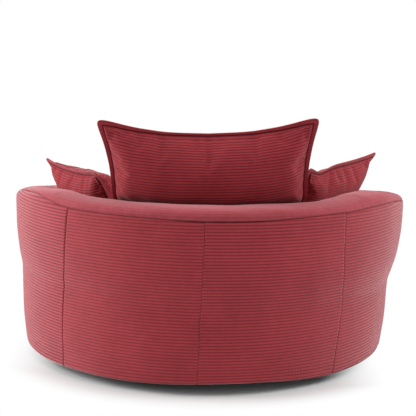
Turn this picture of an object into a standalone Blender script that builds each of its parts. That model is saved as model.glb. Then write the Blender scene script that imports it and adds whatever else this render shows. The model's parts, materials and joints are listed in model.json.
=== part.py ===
"""A round swivel barrel chair in jumbo cord: a turning drum on a low black plinth, with loose cushions.

Metres, +Z up. The origin is on the floor, on the swivel axis. The sitter faces -Y, so the back is at +Y.
A bearing is an angle in degrees round the axis, from the middle of the back towards the sitter's right, -X.
"""

import math

import bmesh
import bpy
from mathutils import Vector

# Overall form
RIM_RADIUS = 0.630
HEM_HEIGHT = 0.032
SEAM_HEIGHT = 0.515
WALL_WIDTH = 0.145
RIM_CROWN = 0.034
ARM_DROP = 0.087
DROP_START_DEGREES = 57.0
DROP_POWER = 1.16
ARM_END_DEGREES = 132.0
GAP = 0.0003
TURN_STEP_DEGREES = 6.0

# Height share from hem to seam, and radius share of the rim
DRUM_PROFILE_SHARES = (
    (0.00, 0.931),
    (0.20, 0.9485),
    (0.42, 0.956),
    (0.51, 0.967),
    (0.60, 0.983),
    (0.70, 0.993),
    (0.80, 0.9985),
    (1.00, 1.000),
)

# Share across the wall from its outer seam, and height share of the crown
RIM_SECTION_SHARES = (
    (0.000, 0.00),
    (0.006, 0.28),
    (0.040, 0.56),
    (0.120, 0.80),
    (0.260, 0.95),
    (0.440, 1.00),
    (0.620, 0.94),
    (0.780, 0.76),
    (0.900, 0.45),
    (0.975, 0.02),
    (1.000, -0.55),
)

# Height share of the crown, and share across the wall that a cushion keeps clear of
CUSHION_CLEAR_SHARES = (
    (-0.55, 1.035),
    (0.10, 1.030),
    (0.62, 0.950),
    (1.00, 0.815),
    (1.20, 0.640),
    (1.28, 0.440),
    (1.38, 0.260),
    (1.60, 0.000),
    (2.10, -0.500),
    (3.00, -3.000),
)

# Floor stand and turntable
GLIDE_RADIUS = 0.014
GLIDE_HEIGHT = 0.004
GLIDE_COUNT = 4
GLIDE_FIRST_DEGREES = 45.0
PLINTH_RADIUS = 0.290
PLINTH_THICKNESS = 0.036
PLINTH_EDGE_ROUND = 0.003
GLIDE_INSET = 0.030
PLATE_RADIUS = 0.165
PLATE_THICKNESS = 0.0025
RACE_RADIUS = 0.110
BALL_RADIUS = 0.0046
CAGE_SHARE = 0.62
BALL_COUNT = 15
RIVET_RADIUS = 0.006
RIVET_HEAD_RADIUS = 0.011
RIVET_HEAD_HEIGHT = 0.003
RIVET_CLEARANCE = 0.0005
POCKET_CLEARANCE = 0.0015
FASTENER_CIRCLE_RADIUS = 0.140
FASTENER_COUNT = 4
SCREW_FIRST_DEGREES = 0.0
BOLT_FIRST_DEGREES = 45.0
SCREW_RADIUS = 0.0024
SCREW_HEAD_RADIUS = 0.0052
SCREW_HEAD_HEIGHT = 0.0026
SCREW_LENGTH = 0.016
BOLT_LENGTH = 0.015
OVERRUN = 0.004

# Frame
PLY_THICKNESS = 0.018
BOTTOM_RING_WIDTH = 0.174
MOUNTING_BOARD_WIDTH = 0.340
MOUNTING_BOARD_LANDING = 0.048
DUST_COVER_THICKNESS = 0.0015
DUST_COVER_TUCK = 0.003
PLINTH_SWEEP_CLEARANCE = 0.020
SEAT_RING_WIDTH = 0.108
RIB_FOOT_DEPTH = 0.064
RIB_DEGREES = (0.0, 42.0, -42.0, 84.0, -84.0, 126.0, -126.0)
FRONT_RIB_DEGREES = (162.0, -162.0)
RIB_EDGE_CLEARANCE = 0.0009
RAIL_END_DEGREES = 130.0
BOARD_THICKNESS = 0.003
BOARD_JOINT_DEGREES = 42.0

# Webbing
STRAP_WIDTH = 0.060
STRAP_THICKNESS = 0.0016
STRAP_SPACING = 0.190
STRAP_CREST_MARGIN = 0.010
STRAP_POINTS = 25

# Upholstery
PANEL_THICKNESS = 0.008
BACK_SEAM_DEGREES = (-41.6, -1.5, 40.7)
RIM_SEAM_DEGREES = 48.0
INNER_SEAM_DEGREES = 48.0
RIM_PAD_DEPTH = 0.045
INNER_PAD_THICKNESS = 0.042
INNER_PAD_SETBACK = 0.003
INNER_PAD_BULGE = 0.003
INNER_PAD_BULGE_SHARES = ((0.0, 0.0), (0.25, 0.8), (0.5, 1.0), (0.75, 0.8), (1.0, 0.2))
DECK_HEIGHT = 0.207
DECK_PAD_THICKNESS = 0.0145
FRONT_ROLL = 0.010
FACING_TURN_DEGREES = 3.4
FACING_ROUND = 0.014
FACING_SECTION_SHARES = ((0.0, 0.0), (0.5, 0.0), (0.8, 0.35), (1.0, 1.0))

# Seat cushion
SEAT_SIDE_CLEARANCE = 0.003
SEAT_FRONT_RADIUS = 0.619
SEAT_EDGE_HEIGHT = 0.128
SEAT_CROWN = 0.035
SEAT_CROWN_POWER = 2.6
SEAT_EDGE_ROUND = 0.016
SEAT_SIDE_DRAW = 0.006
LOBE_START_SHARE = 0.35
LOBE_TURN_DEGREES = 3.0
LOBE_STATION_SHARES = (0.0, 0.15, 0.35, 0.6, 1.0)
LOBE_ROUND_SHARES = ((0.0, 0.0), (0.15, 0.62), (0.35, 0.88), (0.6, 0.97), (1.0, 1.0))
SEAT_TOP_SHARES = (0.88, 0.77, 0.65, 0.51, 0.35, 0.18)
LOBE_SPREAD_SHARE = 0.55

# Flanged cushions
FLANGE_WIDTH = 0.015
FLANGE_THICKNESS = 0.005
PUFF_POWER = 0.45
CORNER_DRAW_POWER = 2.0
CUSHION_BOTTOM_DRAW_SHARE = 0.050
SQUASH_SOFTNESS = 0.008
SQUASH_REACH_SHARE = 6.0
CUSHION_REST_GAP = 0.0005

BACK_CUSHION_WIDTH = 0.632
BACK_CUSHION_HEIGHT = 0.475
BACK_CUSHION_THICKNESS = 0.170
BACK_CUSHION_SIDE_DRAW_SHARE = 0.085
BACK_CUSHION_TOP_DRAW_SHARE = 0.190
BACK_CUSHION_LEAN_DEGREES = 20.0
BACK_CUSHION_TOP_HEIGHT = 0.786
BACK_CUSHION_TOP_OUT = 0.010

SCATTER_WIDTH = 0.440
SCATTER_HEIGHT = 0.305
SCATTER_THICKNESS = 0.125
SCATTER_SIDE_DRAW_SHARE = 0.090
SCATTER_TOP_DRAW_SHARE = 0.120
SCATTER_LEAN_DEGREES = 27.0
SCATTER_HEADING_DEGREES = 59.5
SCATTER_TOP_HEIGHT = 0.615
SCATTER_TOP_IN = 0.036
SCATTER_TOP_BACK = 0.090

# Mesh counts and shading
HEIGHT_DIGITS = 6
SHARP_DEGREES = 35.0
ROUND_SIDES = 48
SMALL_SIDES = 20
FASTENER_SIDES = 10
RACE_SIDES = 6
BALL_STATIONS = 4
BACK_CUSHION_GRID = (21, 17)
SCATTER_GRID = (19, 17)

# Heights that follow from the stack of the stand, from the floor up
PLINTH_BOTTOM = GLIDE_HEIGHT + GAP
PLINTH_TOP = PLINTH_BOTTOM + PLINTH_THICKNESS
LOWER_PLATE_BOTTOM = PLINTH_TOP + GAP
LOWER_PLATE_TOP = LOWER_PLATE_BOTTOM + PLATE_THICKNESS
RACE_HEIGHT = LOWER_PLATE_TOP + GAP + BALL_RADIUS
UPPER_PLATE_BOTTOM = RACE_HEIGHT + BALL_RADIUS + GAP
UPPER_PLATE_TOP = UPPER_PLATE_BOTTOM + PLATE_THICKNESS
MOUNTING_BOARD_BOTTOM = UPPER_PLATE_TOP + GAP
BOTTOM_RING_TOP = MOUNTING_BOARD_BOTTOM - GAP
BOTTOM_RING_BOTTOM = BOTTOM_RING_TOP - PLY_THICKNESS
RIVET_POCKET_RADIUS = RIVET_HEAD_RADIUS + POCKET_CLEARANCE
SCREW_HOLE_RADIUS = SCREW_RADIUS + GAP

# Heights of the deck, from its top down
DECK_PAD_BOTTOM = DECK_HEIGHT - DECK_PAD_THICKNESS
STRAP_STEP = STRAP_THICKNESS + GAP
SEAT_RING_TOP = DECK_PAD_BOTTOM - GAP - 2 * STRAP_STEP
SEAT_RING_BOTTOM = SEAT_RING_TOP - PLY_THICKNESS

# Radii through the wall, from outside in
BOARD_OFFSET = PANEL_THICKNESS + GAP
FRAME_OFFSET = BOARD_OFFSET + BOARD_THICKNESS + GAP
WALL_INNER_RADIUS = RIM_RADIUS - WALL_WIDTH
INNER_PAD_RADIUS = WALL_INNER_RADIUS + INNER_PAD_SETBACK
INNER_PAD_BACK_RADIUS = INNER_PAD_RADIUS + INNER_PAD_THICKNESS
FRAME_INNER_RADIUS = INNER_PAD_BACK_RADIUS + GAP
SEAT_RING_RADIUS = FRAME_INNER_RADIUS - GAP
SEAT_RADIUS = WALL_INNER_RADIUS - SEAT_SIDE_CLEARANCE
SEAT_BOTTOM = DECK_HEIGHT + GAP
SEAT_EDGE_TOP = SEAT_BOTTOM + SEAT_EDGE_HEIGHT
GAP_DEGREES = math.degrees(GAP / WALL_INNER_RADIUS)

CORD_RED = (0.285, 0.040, 0.050)
CORD_RED_DEEP = (0.240, 0.034, 0.043)
PLY_BROWN = (0.540, 0.370, 0.210)
BOARD_BROWN = (0.250, 0.150, 0.080)
BLACK_PAINT = (0.012, 0.012, 0.013)
NYLON_BLACK = (0.020, 0.020, 0.020)
ZINC = (0.620, 0.630, 0.640)
WEBBING_BLACK = (0.030, 0.030, 0.032)
LINING_BLACK = (0.018, 0.018, 0.019)
WADDING = (0.700, 0.680, 0.640)

MATERIAL_LOOKS = {
    "cord": (CORD_RED, 0.85, 0.0),
    "cord_cushion": (CORD_RED_DEEP, 0.85, 0.0),
    "plywood": (PLY_BROWN, 0.60, 0.0),
    "hardboard": (BOARD_BROWN, 0.70, 0.0),
    "black_paint": (BLACK_PAINT, 0.45, 0.0),
    "nylon": (NYLON_BLACK, 0.40, 0.0),
    "zinc_steel": (ZINC, 0.35, 1.0),
    "webbing": (WEBBING_BLACK, 0.80, 0.0),
    "lining": (LINING_BLACK, 0.90, 0.0),
    "wadding": (WADDING, 0.95, 0.0),
}


def clear_scene():
    for item in list(bpy.data.objects):
        bpy.data.objects.remove(item, do_unlink=True)


def material(name):
    """The named finish, made the first time it is asked for."""
    found = bpy.data.materials.get(name)
    if found:
        return found
    color, roughness, metallic = MATERIAL_LOOKS[name]
    made = bpy.data.materials.new(name)
    made.use_nodes = True
    shader = made.node_tree.nodes["Principled BSDF"]
    shader.inputs["Base Color"].default_value = (*color, 1.0)
    shader.inputs["Roughness"].default_value = roughness
    shader.inputs["Metallic"].default_value = metallic
    return made


def add_object(name, mesh_builder, look, smooth=True):
    """Closes a bmesh into a named object with outward faces."""
    bmesh.ops.recalc_face_normals(mesh_builder, faces=mesh_builder.faces)
    mesh = bpy.data.meshes.new(name)
    mesh_builder.to_mesh(mesh)
    mesh_builder.free()
    if smooth:
        mesh.shade_smooth()
        mesh.set_sharp_from_angle(angle=math.radians(SHARP_DEGREES))
    made = bpy.data.objects.new(name, mesh)
    bpy.context.scene.collection.objects.link(made)
    made.data.materials.append(material(look))
    return made


def add_axis(name, place):
    """An empty that marks a moving body's own joint."""
    made = bpy.data.objects.new(name, None)
    made.location = place
    bpy.context.scene.collection.objects.link(made)
    bpy.context.view_layer.update()
    return made


def hang_on(axis, made):
    """Parents an object to its joint's empty, leaving it where it is."""
    made.parent = axis
    made.matrix_parent_inverse = axis.matrix_world.inverted()


def read_between(pairs, at):
    """The value at a place in a rising list of (place, value) pairs, straight between them."""
    if at <= pairs[0][0]:
        return pairs[0][1]
    for (low, low_value), (high, high_value) in zip(pairs, pairs[1:]):
        if at <= high:
            return low_value + (high_value - low_value) * (at - low) / (high - low)
    return pairs[-1][1]


def eased(share):
    share = min(1.0, max(0.0, share))
    return share * share * (3.0 - 2.0 * share)


def at_bearing(radius, height, bearing):
    turn = math.radians(bearing)
    return Vector((-radius * math.sin(turn), radius * math.cos(turn), height))


def bearings_between(start, end):
    """The ends, and the turning steps and rail ends between them: nested pieces share their corners."""
    inside = [b for b in whole_round((RAIL_END_DEGREES,)) for b in (b, b + 360.0) if start < b < end]
    return [start, *sorted(inside), end]


def arm_drop(bearing):
    """How far the rim has fallen at a bearing: nothing at the back, most at the arms' front ends."""
    past = (abs(bearing) - DROP_START_DEGREES) / (ARM_END_DEGREES - DROP_START_DEGREES)
    return ARM_DROP * min(1.0, max(0.0, past)) ** DROP_POWER


def seam_height(bearing):
    return SEAM_HEIGHT - arm_drop(bearing)


def drum_rows(bearing):
    """The outer surface at a bearing, as (height, radius) pairs from hem to seam."""
    rise = seam_height(bearing) - HEM_HEIGHT
    full = SEAM_HEIGHT - HEM_HEIGHT
    rows = []
    for height_share, _ in DRUM_PROFILE_SHARES:
        height = HEM_HEIGHT + height_share * rise
        radius_share = read_between(DRUM_PROFILE_SHARES, (height - HEM_HEIGHT) / full)
        rows.append((height, RIM_RADIUS * radius_share))
    return rows


def drum_radius(height, bearing):
    return read_between(drum_rows(bearing), height)


def skin_section(bearing, low, high, offset, thickness):
    """A closed outline that follows the drum's outer surface from low to high, sunk by offset."""
    inside = [z for z, _ in drum_rows(bearing) if low + GAP < z < high - GAP]
    heights = [low, *inside, high]
    outer = [(drum_radius(z, bearing) - offset, z) for z in heights]
    inner = [(radius - thickness, z) for radius, z in reversed(outer)]
    return outer + inner


def climb(point):
    """Orders points by height and then radius, so that neighbouring pieces split their faces the same way."""
    return round(point.z, HEIGHT_DIGITS), math.hypot(point.x, point.y)


def add_swept(name, bearings, section, look, closed=False):
    """A solid with the given outline of (radius, height) points at each bearing. An open one gets caps."""
    builder = bmesh.new()
    stations = []
    for bearing in bearings:
        points = [at_bearing(r, z, bearing) for r, z in section(bearing)]
        stations.append([builder.verts.new(p) for p in points])
    count = len(stations[0])
    pairs = list(zip(stations, stations[1:]))
    if closed:
        pairs.append((stations[-1], stations[0]))
    for here, there in pairs:
        for k in range(count):
            low, high = sorted((k, (k + 1) % count), key=lambda n: climb(here[n].co))
            builder.faces.new((here[low], here[high], there[high]))
            builder.faces.new((here[low], there[high], there[low]))
    if not closed:
        builder.faces.new(stations[0])
        builder.faces.new(stations[-1])
    return add_object(name, builder, look)


def full_turn():
    count = round(360.0 / TURN_STEP_DEGREES)
    return [k * 360.0 / count for k in range(count)]


def rectangle(inner, outer, low, high):
    return [(outer, low), (outer, high), (inner, high), (inner, low)]


def add_turned(name, profile, look, sides=ROUND_SIDES, place=(0.0, 0.0)):
    """A profile of (radius, height) points from the bottom of a vertical line to its top, turned about it."""
    builder = bmesh.new()
    x, y = place
    turns = [math.tau * (k + 0.5) / sides for k in range(sides)]
    rings = []
    for radius, height in profile:
        ring = [(x, y, height)]
        if radius > 0.0:
            ring = [(x + radius * math.cos(t), y + radius * math.sin(t), height) for t in turns]
        rings.append([builder.verts.new(point) for point in ring])
    for low, high in zip(rings, rings[1:]):
        for k in range(sides):
            after = (k + 1) % sides
            if len(low) == 1:
                builder.faces.new((low[0], high[after], high[k]))
            elif len(high) == 1:
                builder.faces.new((low[k], low[after], high[0]))
            else:
                builder.faces.new((low[k], low[after], high[after], high[k]))
    return add_object(name, builder, look)


def cylinder_profile(radius, low, high):
    return [(0.0, low), (radius, low), (radius, high), (0.0, high)]


def add_cutter(name, radius, low, high, sides=SMALL_SIDES, place=(0.0, 0.0)):
    made = add_turned(name, cylinder_profile(radius, low, high), "zinc_steel", sides, place)
    made.hide_render = True
    made.display_type = "WIRE"
    return made


def cut(target, cutter):
    step = target.modifiers.new(cutter.name, "BOOLEAN")
    step.operation = "DIFFERENCE"
    step.solver = "EXACT"
    step.object = cutter


def circle_places(radius, count, first_degrees):
    turns = [math.radians(first_degrees + 360.0 * k / count) for k in range(count)]
    return [(radius * math.cos(t), radius * math.sin(t)) for t in turns]


def add_stand():
    """The plinth, its glides and the lower half of the turntable: all that stands still."""
    low_round = PLINTH_BOTTOM + PLINTH_EDGE_ROUND
    high_round = PLINTH_TOP - PLINTH_EDGE_ROUND
    rounded = PLINTH_RADIUS - PLINTH_EDGE_ROUND
    profile = [
        (0.0, PLINTH_BOTTOM),
        (rounded, PLINTH_BOTTOM),
        (PLINTH_RADIUS, low_round),
        (PLINTH_RADIUS, high_round),
        (rounded, PLINTH_TOP),
        (0.0, PLINTH_TOP),
    ]
    plinth = add_turned("base_plinth", profile, "black_paint")
    glide_places = circle_places(PLINTH_RADIUS - GLIDE_INSET, GLIDE_COUNT, GLIDE_FIRST_DEGREES)
    for number, place in enumerate(glide_places, 1):
        outline = cylinder_profile(GLIDE_RADIUS, 0.0, GLIDE_HEIGHT)
        add_turned(f"floor_glide_{number}", outline, "nylon", SMALL_SIDES, place)
    pocket_floor = LOWER_PLATE_BOTTOM - GAP - RIVET_HEAD_HEIGHT - RIVET_CLEARANCE
    cut(plinth, add_cutter("plinth_pocket", RIVET_POCKET_RADIUS, pocket_floor, PLINTH_TOP + OVERRUN))

    plate = add_plate("lower_swivel_plate", LOWER_PLATE_BOTTOM, LOWER_PLATE_TOP)
    head = LOWER_PLATE_TOP + GAP
    foot = head - SCREW_LENGTH
    places = circle_places(FASTENER_CIRCLE_RADIUS, FASTENER_COUNT, SCREW_FIRST_DEGREES)
    for number, place in enumerate(places, 1):
        bottom, top = foot - GAP, LOWER_PLATE_TOP + OVERRUN
        hole = add_cutter(f"lower_hole_{number}", SCREW_HOLE_RADIUS, bottom, top, FASTENER_SIDES, place)
        cut(plate, hole)
        cut(plinth, hole)
        profile = [
            (0.0, foot),
            (SCREW_RADIUS, foot),
            (SCREW_RADIUS, head),
            (SCREW_HEAD_RADIUS, head),
            (SCREW_RADIUS, head + SCREW_HEAD_HEIGHT),
            (0.0, head + SCREW_HEAD_HEIGHT),
        ]
        add_turned(f"lower_plate_screw_{number}", profile, "zinc_steel", FASTENER_SIDES, place)
    add_ball_race()
    add_rivet()


def add_plate(name, low, high):
    """A round steel plate with the rivet's hole through its middle."""
    plate = add_turned(name, cylinder_profile(PLATE_RADIUS, low, high), "zinc_steel")
    cut(plate, add_cutter(f"{name}_bore", RIVET_RADIUS + RIVET_CLEARANCE, low - OVERRUN, high + OVERRUN))
    return plate


def add_rivet():
    """The rivet that holds the two plates together, headed under the lower one and over the upper one."""
    low_head = LOWER_PLATE_BOTTOM - GAP
    high_head = UPPER_PLATE_TOP + GAP
    profile = [
        (0.0, low_head - RIVET_HEAD_HEIGHT),
        (RIVET_HEAD_RADIUS, low_head - RIVET_HEAD_HEIGHT),
        (RIVET_HEAD_RADIUS, low_head),
        (RIVET_RADIUS, low_head),
        (RIVET_RADIUS, high_head),
        (RIVET_HEAD_RADIUS, high_head),
        (RIVET_RADIUS, high_head + RIVET_HEAD_HEIGHT),
        (0.0, high_head + RIVET_HEAD_HEIGHT),
    ]
    add_turned("centre_rivet", profile, "zinc_steel", SMALL_SIDES)


def add_ball_race():
    """The balls in their pressed cage, as one ring that swells at each ball."""
    count = BALL_COUNT * BALL_STATIONS
    turns = [math.tau * (k + 0.5) / RACE_SIDES for k in range(RACE_SIDES)]

    def section(bearing):
        swell = abs(math.cos(math.radians(bearing) * BALL_COUNT / 2))
        radius = BALL_RADIUS * (CAGE_SHARE + (1.0 - CAGE_SHARE) * swell)
        return [(RACE_RADIUS + radius * math.cos(t), RACE_HEIGHT + radius * math.sin(t)) for t in turns]

    add_swept("ball_race", [k * 360.0 / count for k in range(count)], section, "zinc_steel", closed=True)


def add_turntable_top(axis):
    """The upper plate, its bolts, and the board that carries the chair on it."""
    plate = add_plate("upper_swivel_plate", UPPER_PLATE_BOTTOM, UPPER_PLATE_TOP)
    half_length = bottom_ring_radius() - BOTTOM_RING_WIDTH + MOUNTING_BOARD_LANDING
    half_width = MOUNTING_BOARD_WIDTH / 2
    low, high = MOUNTING_BOARD_BOTTOM, MOUNTING_BOARD_BOTTOM + PLY_THICKNESS
    corners = (-half_length, -half_width, low), (half_length, half_width, high)
    board = add_box("mounting_board", *corners, "plywood")
    cut(board, add_cutter("board_pocket", RIVET_POCKET_RADIUS, low - OVERRUN, high + OVERRUN))

    head = UPPER_PLATE_BOTTOM - GAP
    tip = head + BOLT_LENGTH
    places = circle_places(FASTENER_CIRCLE_RADIUS, FASTENER_COUNT, BOLT_FIRST_DEGREES)
    for number, place in enumerate(places, 1):
        bottom, top = head - OVERRUN, tip + GAP
        hole = add_cutter(f"upper_hole_{number}", SCREW_HOLE_RADIUS, bottom, top, FASTENER_SIDES, place)
        cut(plate, hole)
        cut(board, hole)
        profile = [
            (0.0, head - SCREW_HEAD_HEIGHT),
            (SCREW_HEAD_RADIUS, head - SCREW_HEAD_HEIGHT),
            (SCREW_HEAD_RADIUS, head),
            (SCREW_RADIUS, head),
            (SCREW_RADIUS, tip),
            (0.0, tip),
        ]
        hang_on(axis, add_turned(f"upper_plate_bolt_{number}", profile, "zinc_steel", FASTENER_SIDES, place))
    hang_on(axis, plate)
    hang_on(axis, board)


def add_box(name, low, high, look):
    builder = bmesh.new()
    bmesh.ops.create_cube(builder, size=1.0)
    low, high = Vector(low), Vector(high)
    for vert in builder.verts:
        share = vert.co + Vector((0.5, 0.5, 0.5))
        vert.co = Vector(a + (b - a) * s for a, b, s in zip(low, high, share))
    return add_object(name, builder, look, smooth=False)


def bottom_ring_radius():
    return drum_radius(BOTTOM_RING_BOTTOM, 0.0) - FRAME_OFFSET - RIB_EDGE_CLEARANCE


def add_rings(axis):
    """The bottom ring, the dust cover under it and the seat ring."""
    outer = bottom_ring_radius()
    inner = outer - BOTTOM_RING_WIDTH
    ring = rectangle(inner, outer, BOTTOM_RING_BOTTOM, BOTTOM_RING_TOP)
    hang_on(axis, add_swept("bottom_ring", full_turn(), lambda _: ring, "plywood", closed=True))

    high = BOTTOM_RING_BOTTOM - GAP
    low = high - DUST_COVER_THICKNESS
    cover = rectangle(PLINTH_RADIUS + PLINTH_SWEEP_CLEARANCE, outer - DUST_COVER_TUCK, low, high)
    hang_on(axis, add_swept("dust_cover", full_turn(), lambda _: cover, "lining", closed=True))

    seat = rectangle(SEAT_RING_RADIUS - SEAT_RING_WIDTH, SEAT_RING_RADIUS, SEAT_RING_BOTTOM, SEAT_RING_TOP)
    hang_on(axis, add_swept("seat_ring", full_turn(), lambda _: seat, "plywood", closed=True))


def rim_underside(bearing):
    return seam_height(bearing) - RIM_PAD_DEPTH


def rail_top(bearing):
    return rim_underside(bearing) - GAP


def rail_bottom(bearing):
    return rail_top(bearing) - PLY_THICKNESS


def add_top_rail(axis):
    def section(bearing):
        low, high = rail_bottom(bearing), rail_top(bearing)
        low_outer = drum_radius(low, bearing) - FRAME_OFFSET - RIB_EDGE_CLEARANCE
        high_outer = drum_radius(high, bearing) - FRAME_OFFSET - RIB_EDGE_CLEARANCE
        return [(low_outer, low), (high_outer, high), (FRAME_INNER_RADIUS, high), (FRAME_INNER_RADIUS, low)]

    bearings = bearings_between(-RAIL_END_DEGREES, RAIL_END_DEGREES)
    hang_on(axis, add_swept("top_rail", bearings, section, "plywood"))


def rib_outline(bearing, top):
    """A rib's outline: a deep foot up to the seat ring, and a slimmer blade behind the ring."""
    low = BOTTOM_RING_TOP + GAP
    step = SEAT_RING_BOTTOM - GAP
    blade = SEAT_RING_RADIUS + GAP
    inside = [z for z, _ in drum_rows(bearing) if low + GAP < z < top - GAP]
    heights = [low, *inside, top]
    outer = [(drum_radius(z, bearing) - FRAME_OFFSET - RIB_EDGE_CLEARANCE, z) for z in heights]
    foot = outer[0][0] - RIB_FOOT_DEPTH
    return [*outer, (blade, top), (blade, step), (foot, step), (foot, low)]


def add_rib(name, bearing, top_at, axis):
    """One ply rib: the same outline on both faces, whose top follows the piece that it carries."""
    builder = bmesh.new()
    half = PLY_THICKNESS / 2
    turn = math.radians(bearing)
    along = Vector((-math.cos(turn), -math.sin(turn), 0.0))
    faces = []
    for side in (-1.0, 1.0):
        off_bearing = bearing + math.degrees(side * half / FRAME_INNER_RADIUS)
        outline = rib_outline(bearing, top_at(off_bearing))
        faces.append([builder.verts.new(at_bearing(r, z, bearing) + along * side * half) for r, z in outline])
    count = len(faces[0])
    for k in range(count):
        after = (k + 1) % count
        builder.faces.new((faces[0][k], faces[0][after], faces[1][after], faces[1][k]))
    builder.faces.new(faces[0])
    builder.faces.new(faces[1])
    hang_on(axis, add_object(name, builder, "plywood", smooth=False))


def add_ribs(axis):
    for number, bearing in enumerate(RIB_DEGREES, 1):
        add_rib(f"rib_{number}", bearing, lambda b: rail_bottom(b) - GAP, axis)
    for number, bearing in enumerate(FRONT_RIB_DEGREES, 1):
        add_rib(f"front_rib_{number}", bearing, lambda _: DECK_PAD_BOTTOM - GAP, axis)


def add_strap(name, length, offset, crossings, turned, axis):
    """An elastic strap. Where it crosses the others, it passes over or under them."""
    builder = bmesh.new()
    rows = []
    flat = STRAP_WIDTH / 2 + STRAP_CREST_MARGIN
    fade = STRAP_SPACING / 2 - flat
    for k in range(STRAP_POINTS):
        along = length * (k / (STRAP_POINTS - 1) - 0.5)
        level = 0.0
        for place, side in crossings:
            level += side * (1.0 - eased((abs(along - place) - flat) / fade))
        low = SEAT_RING_TOP + GAP + STRAP_STEP * level
        row = []
        for across, height in (
            (-STRAP_WIDTH / 2, low),
            (STRAP_WIDTH / 2, low),
            (STRAP_WIDTH / 2, low + STRAP_THICKNESS),
            (-STRAP_WIDTH / 2, low + STRAP_THICKNESS),
        ):
            point = (offset + across, along, height) if turned else (along, offset + across, height)
            row.append(builder.verts.new(point))
        rows.append(row)
    for here, there in zip(rows, rows[1:]):
        for k in range(4):
            after = (k + 1) % 4
            builder.faces.new((here[k], here[after], there[after], there[k]))
    builder.faces.new(rows[0])
    builder.faces.new(rows[-1])
    hang_on(axis, add_object(name, builder, "webbing"))


def add_webbing(axis):
    landing = SEAT_RING_RADIUS - SEAT_RING_WIDTH / 2
    offsets = (-STRAP_SPACING, 0.0, STRAP_SPACING)
    for number, offset in enumerate(offsets, 1):
        length = 2.0 * math.sqrt(landing**2 - (abs(offset) + STRAP_WIDTH / 2) ** 2)
        add_strap(f"webbing_lengthwise_{number}", length, offset, (), True, axis)
        first = 1.0 if number % 2 else -1.0
        crossings = [(place, first * (-1.0) ** k) for k, place in enumerate(offsets)]
        add_strap(f"webbing_crosswise_{number}", length, offset, crossings, False, axis)


def deck_radius(bearing):
    """The deck pad stops under the inner pads, and reaches the front border between the arms."""
    back = INNER_PAD_BACK_RADIUS - GAP
    front = drum_radius(DECK_PAD_BOTTOM, bearing) - FRAME_OFFSET - RIB_EDGE_CLEARANCE
    turn = abs(bearing) - RAIL_END_DEGREES
    return back + (front - back) * eased(turn / (ARM_END_DEGREES - RAIL_END_DEGREES))


def whole_round(extra=()):
    """Bearings of a full turn, with extra ones on both sides."""
    both = [*extra, *[-e for e in extra]]
    return sorted({*[b if b <= 180.0 else b - 360.0 for b in full_turn()], *both})


def add_radial(name, bearings, rings, low_height, high_height, look):
    """A solid round the axis, of rings that give (radius, height) at a bearing, closed at the axis."""
    builder = bmesh.new()
    made = []
    for ring in rings:
        made.append([builder.verts.new(at_bearing(*ring(b), b)) for b in bearings])
    bottom = builder.verts.new((0.0, 0.0, low_height))
    top = builder.verts.new((0.0, 0.0, high_height))
    count = len(bearings)
    for k in range(count):
        after = (k + 1) % count
        builder.faces.new((bottom, made[0][after], made[0][k]))
        builder.faces.new((made[-1][k], made[-1][after], top))
        for low, high in zip(made, made[1:]):
            builder.faces.new((low[k], low[after], high[after], high[k]))
    return add_object(name, builder, look)


def add_deck_pad(axis):
    extra = (RAIL_END_DEGREES, (RAIL_END_DEGREES + ARM_END_DEGREES) / 2)
    rings = [
        lambda b: (deck_radius(b), DECK_PAD_BOTTOM),
        lambda b: (deck_radius(b), DECK_HEIGHT),
    ]
    pad = add_radial("deck_pad", whole_round(extra), rings, DECK_PAD_BOTTOM, DECK_HEIGHT, "wadding")
    hang_on(axis, pad)


def add_backing_boards(axis):
    """Thin boards round the ribs, under the cover panels."""

    def wall(bearing):
        return skin_section(bearing, BOTTOM_RING_BOTTOM, seam_height(bearing), BOARD_OFFSET, BOARD_THICKNESS)

    def front(bearing):
        return skin_section(bearing, BOTTOM_RING_BOTTOM, DECK_HEIGHT, BOARD_OFFSET, BOARD_THICKNESS)

    half = GAP_DEGREES / 2
    joint, end = BOARD_JOINT_DEGREES, ARM_END_DEGREES
    spans = (
        ("backing_board_back", -joint + half, joint - half, wall),
        ("backing_board_left", -end + half, -joint - half, wall),
        ("backing_board_right", joint + half, end - half, wall),
        ("backing_board_front", end + half, 360.0 - end - half, front),
    )
    for name, start, stop, section in spans:
        hang_on(axis, add_swept(name, bearings_between(start, stop), section, "hardboard"))


def add_cover_panels(axis):
    """The outer cover, cut where its seams run, and the lower border between the arms."""

    def wall(bearing):
        return skin_section(bearing, HEM_HEIGHT, seam_height(bearing), 0.0, PANEL_THICKNESS)

    def border(bearing):
        points = skin_section(bearing, HEM_HEIGHT, DECK_HEIGHT - FRONT_ROLL, 0.0, PANEL_THICKNESS)
        half = len(points) // 2
        radius = drum_radius(DECK_HEIGHT, bearing)
        rolled = [(radius - PANEL_THICKNESS / 2, DECK_HEIGHT), (radius - PANEL_THICKNESS, DECK_HEIGHT)]
        return points[:half] + rolled + points[half:]

    half = GAP_DEGREES / 2
    left_seam, middle_seam, right_seam = BACK_SEAM_DEGREES
    end = ARM_END_DEGREES
    spans = (
        ("cover_left_side", -end + half, left_seam - half, wall),
        ("cover_back_left", left_seam + half, middle_seam - half, wall),
        ("cover_back_right", middle_seam + half, right_seam - half, wall),
        ("cover_right_side", right_seam + half, end - half, wall),
        ("cover_front_border", end + half, 360.0 - end - half, border),
    )
    for name, start, stop, section in spans:
        hang_on(axis, add_swept(name, bearings_between(start, stop), section, "cord"))


def rim_curve(bearing):
    """The rim's upper surface at a bearing, from the outer seam over the crown to its inner face."""
    seam = seam_height(bearing)
    outer = drum_radius(seam, bearing)
    width = outer - WALL_INNER_RADIUS
    return [(outer - width * across, seam + RIM_CROWN * up) for across, up in RIM_SECTION_SHARES]


def inner_pad_top_radius():
    return INNER_PAD_RADIUS - INNER_PAD_BULGE * INNER_PAD_BULGE_SHARES[-1][1]


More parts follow.
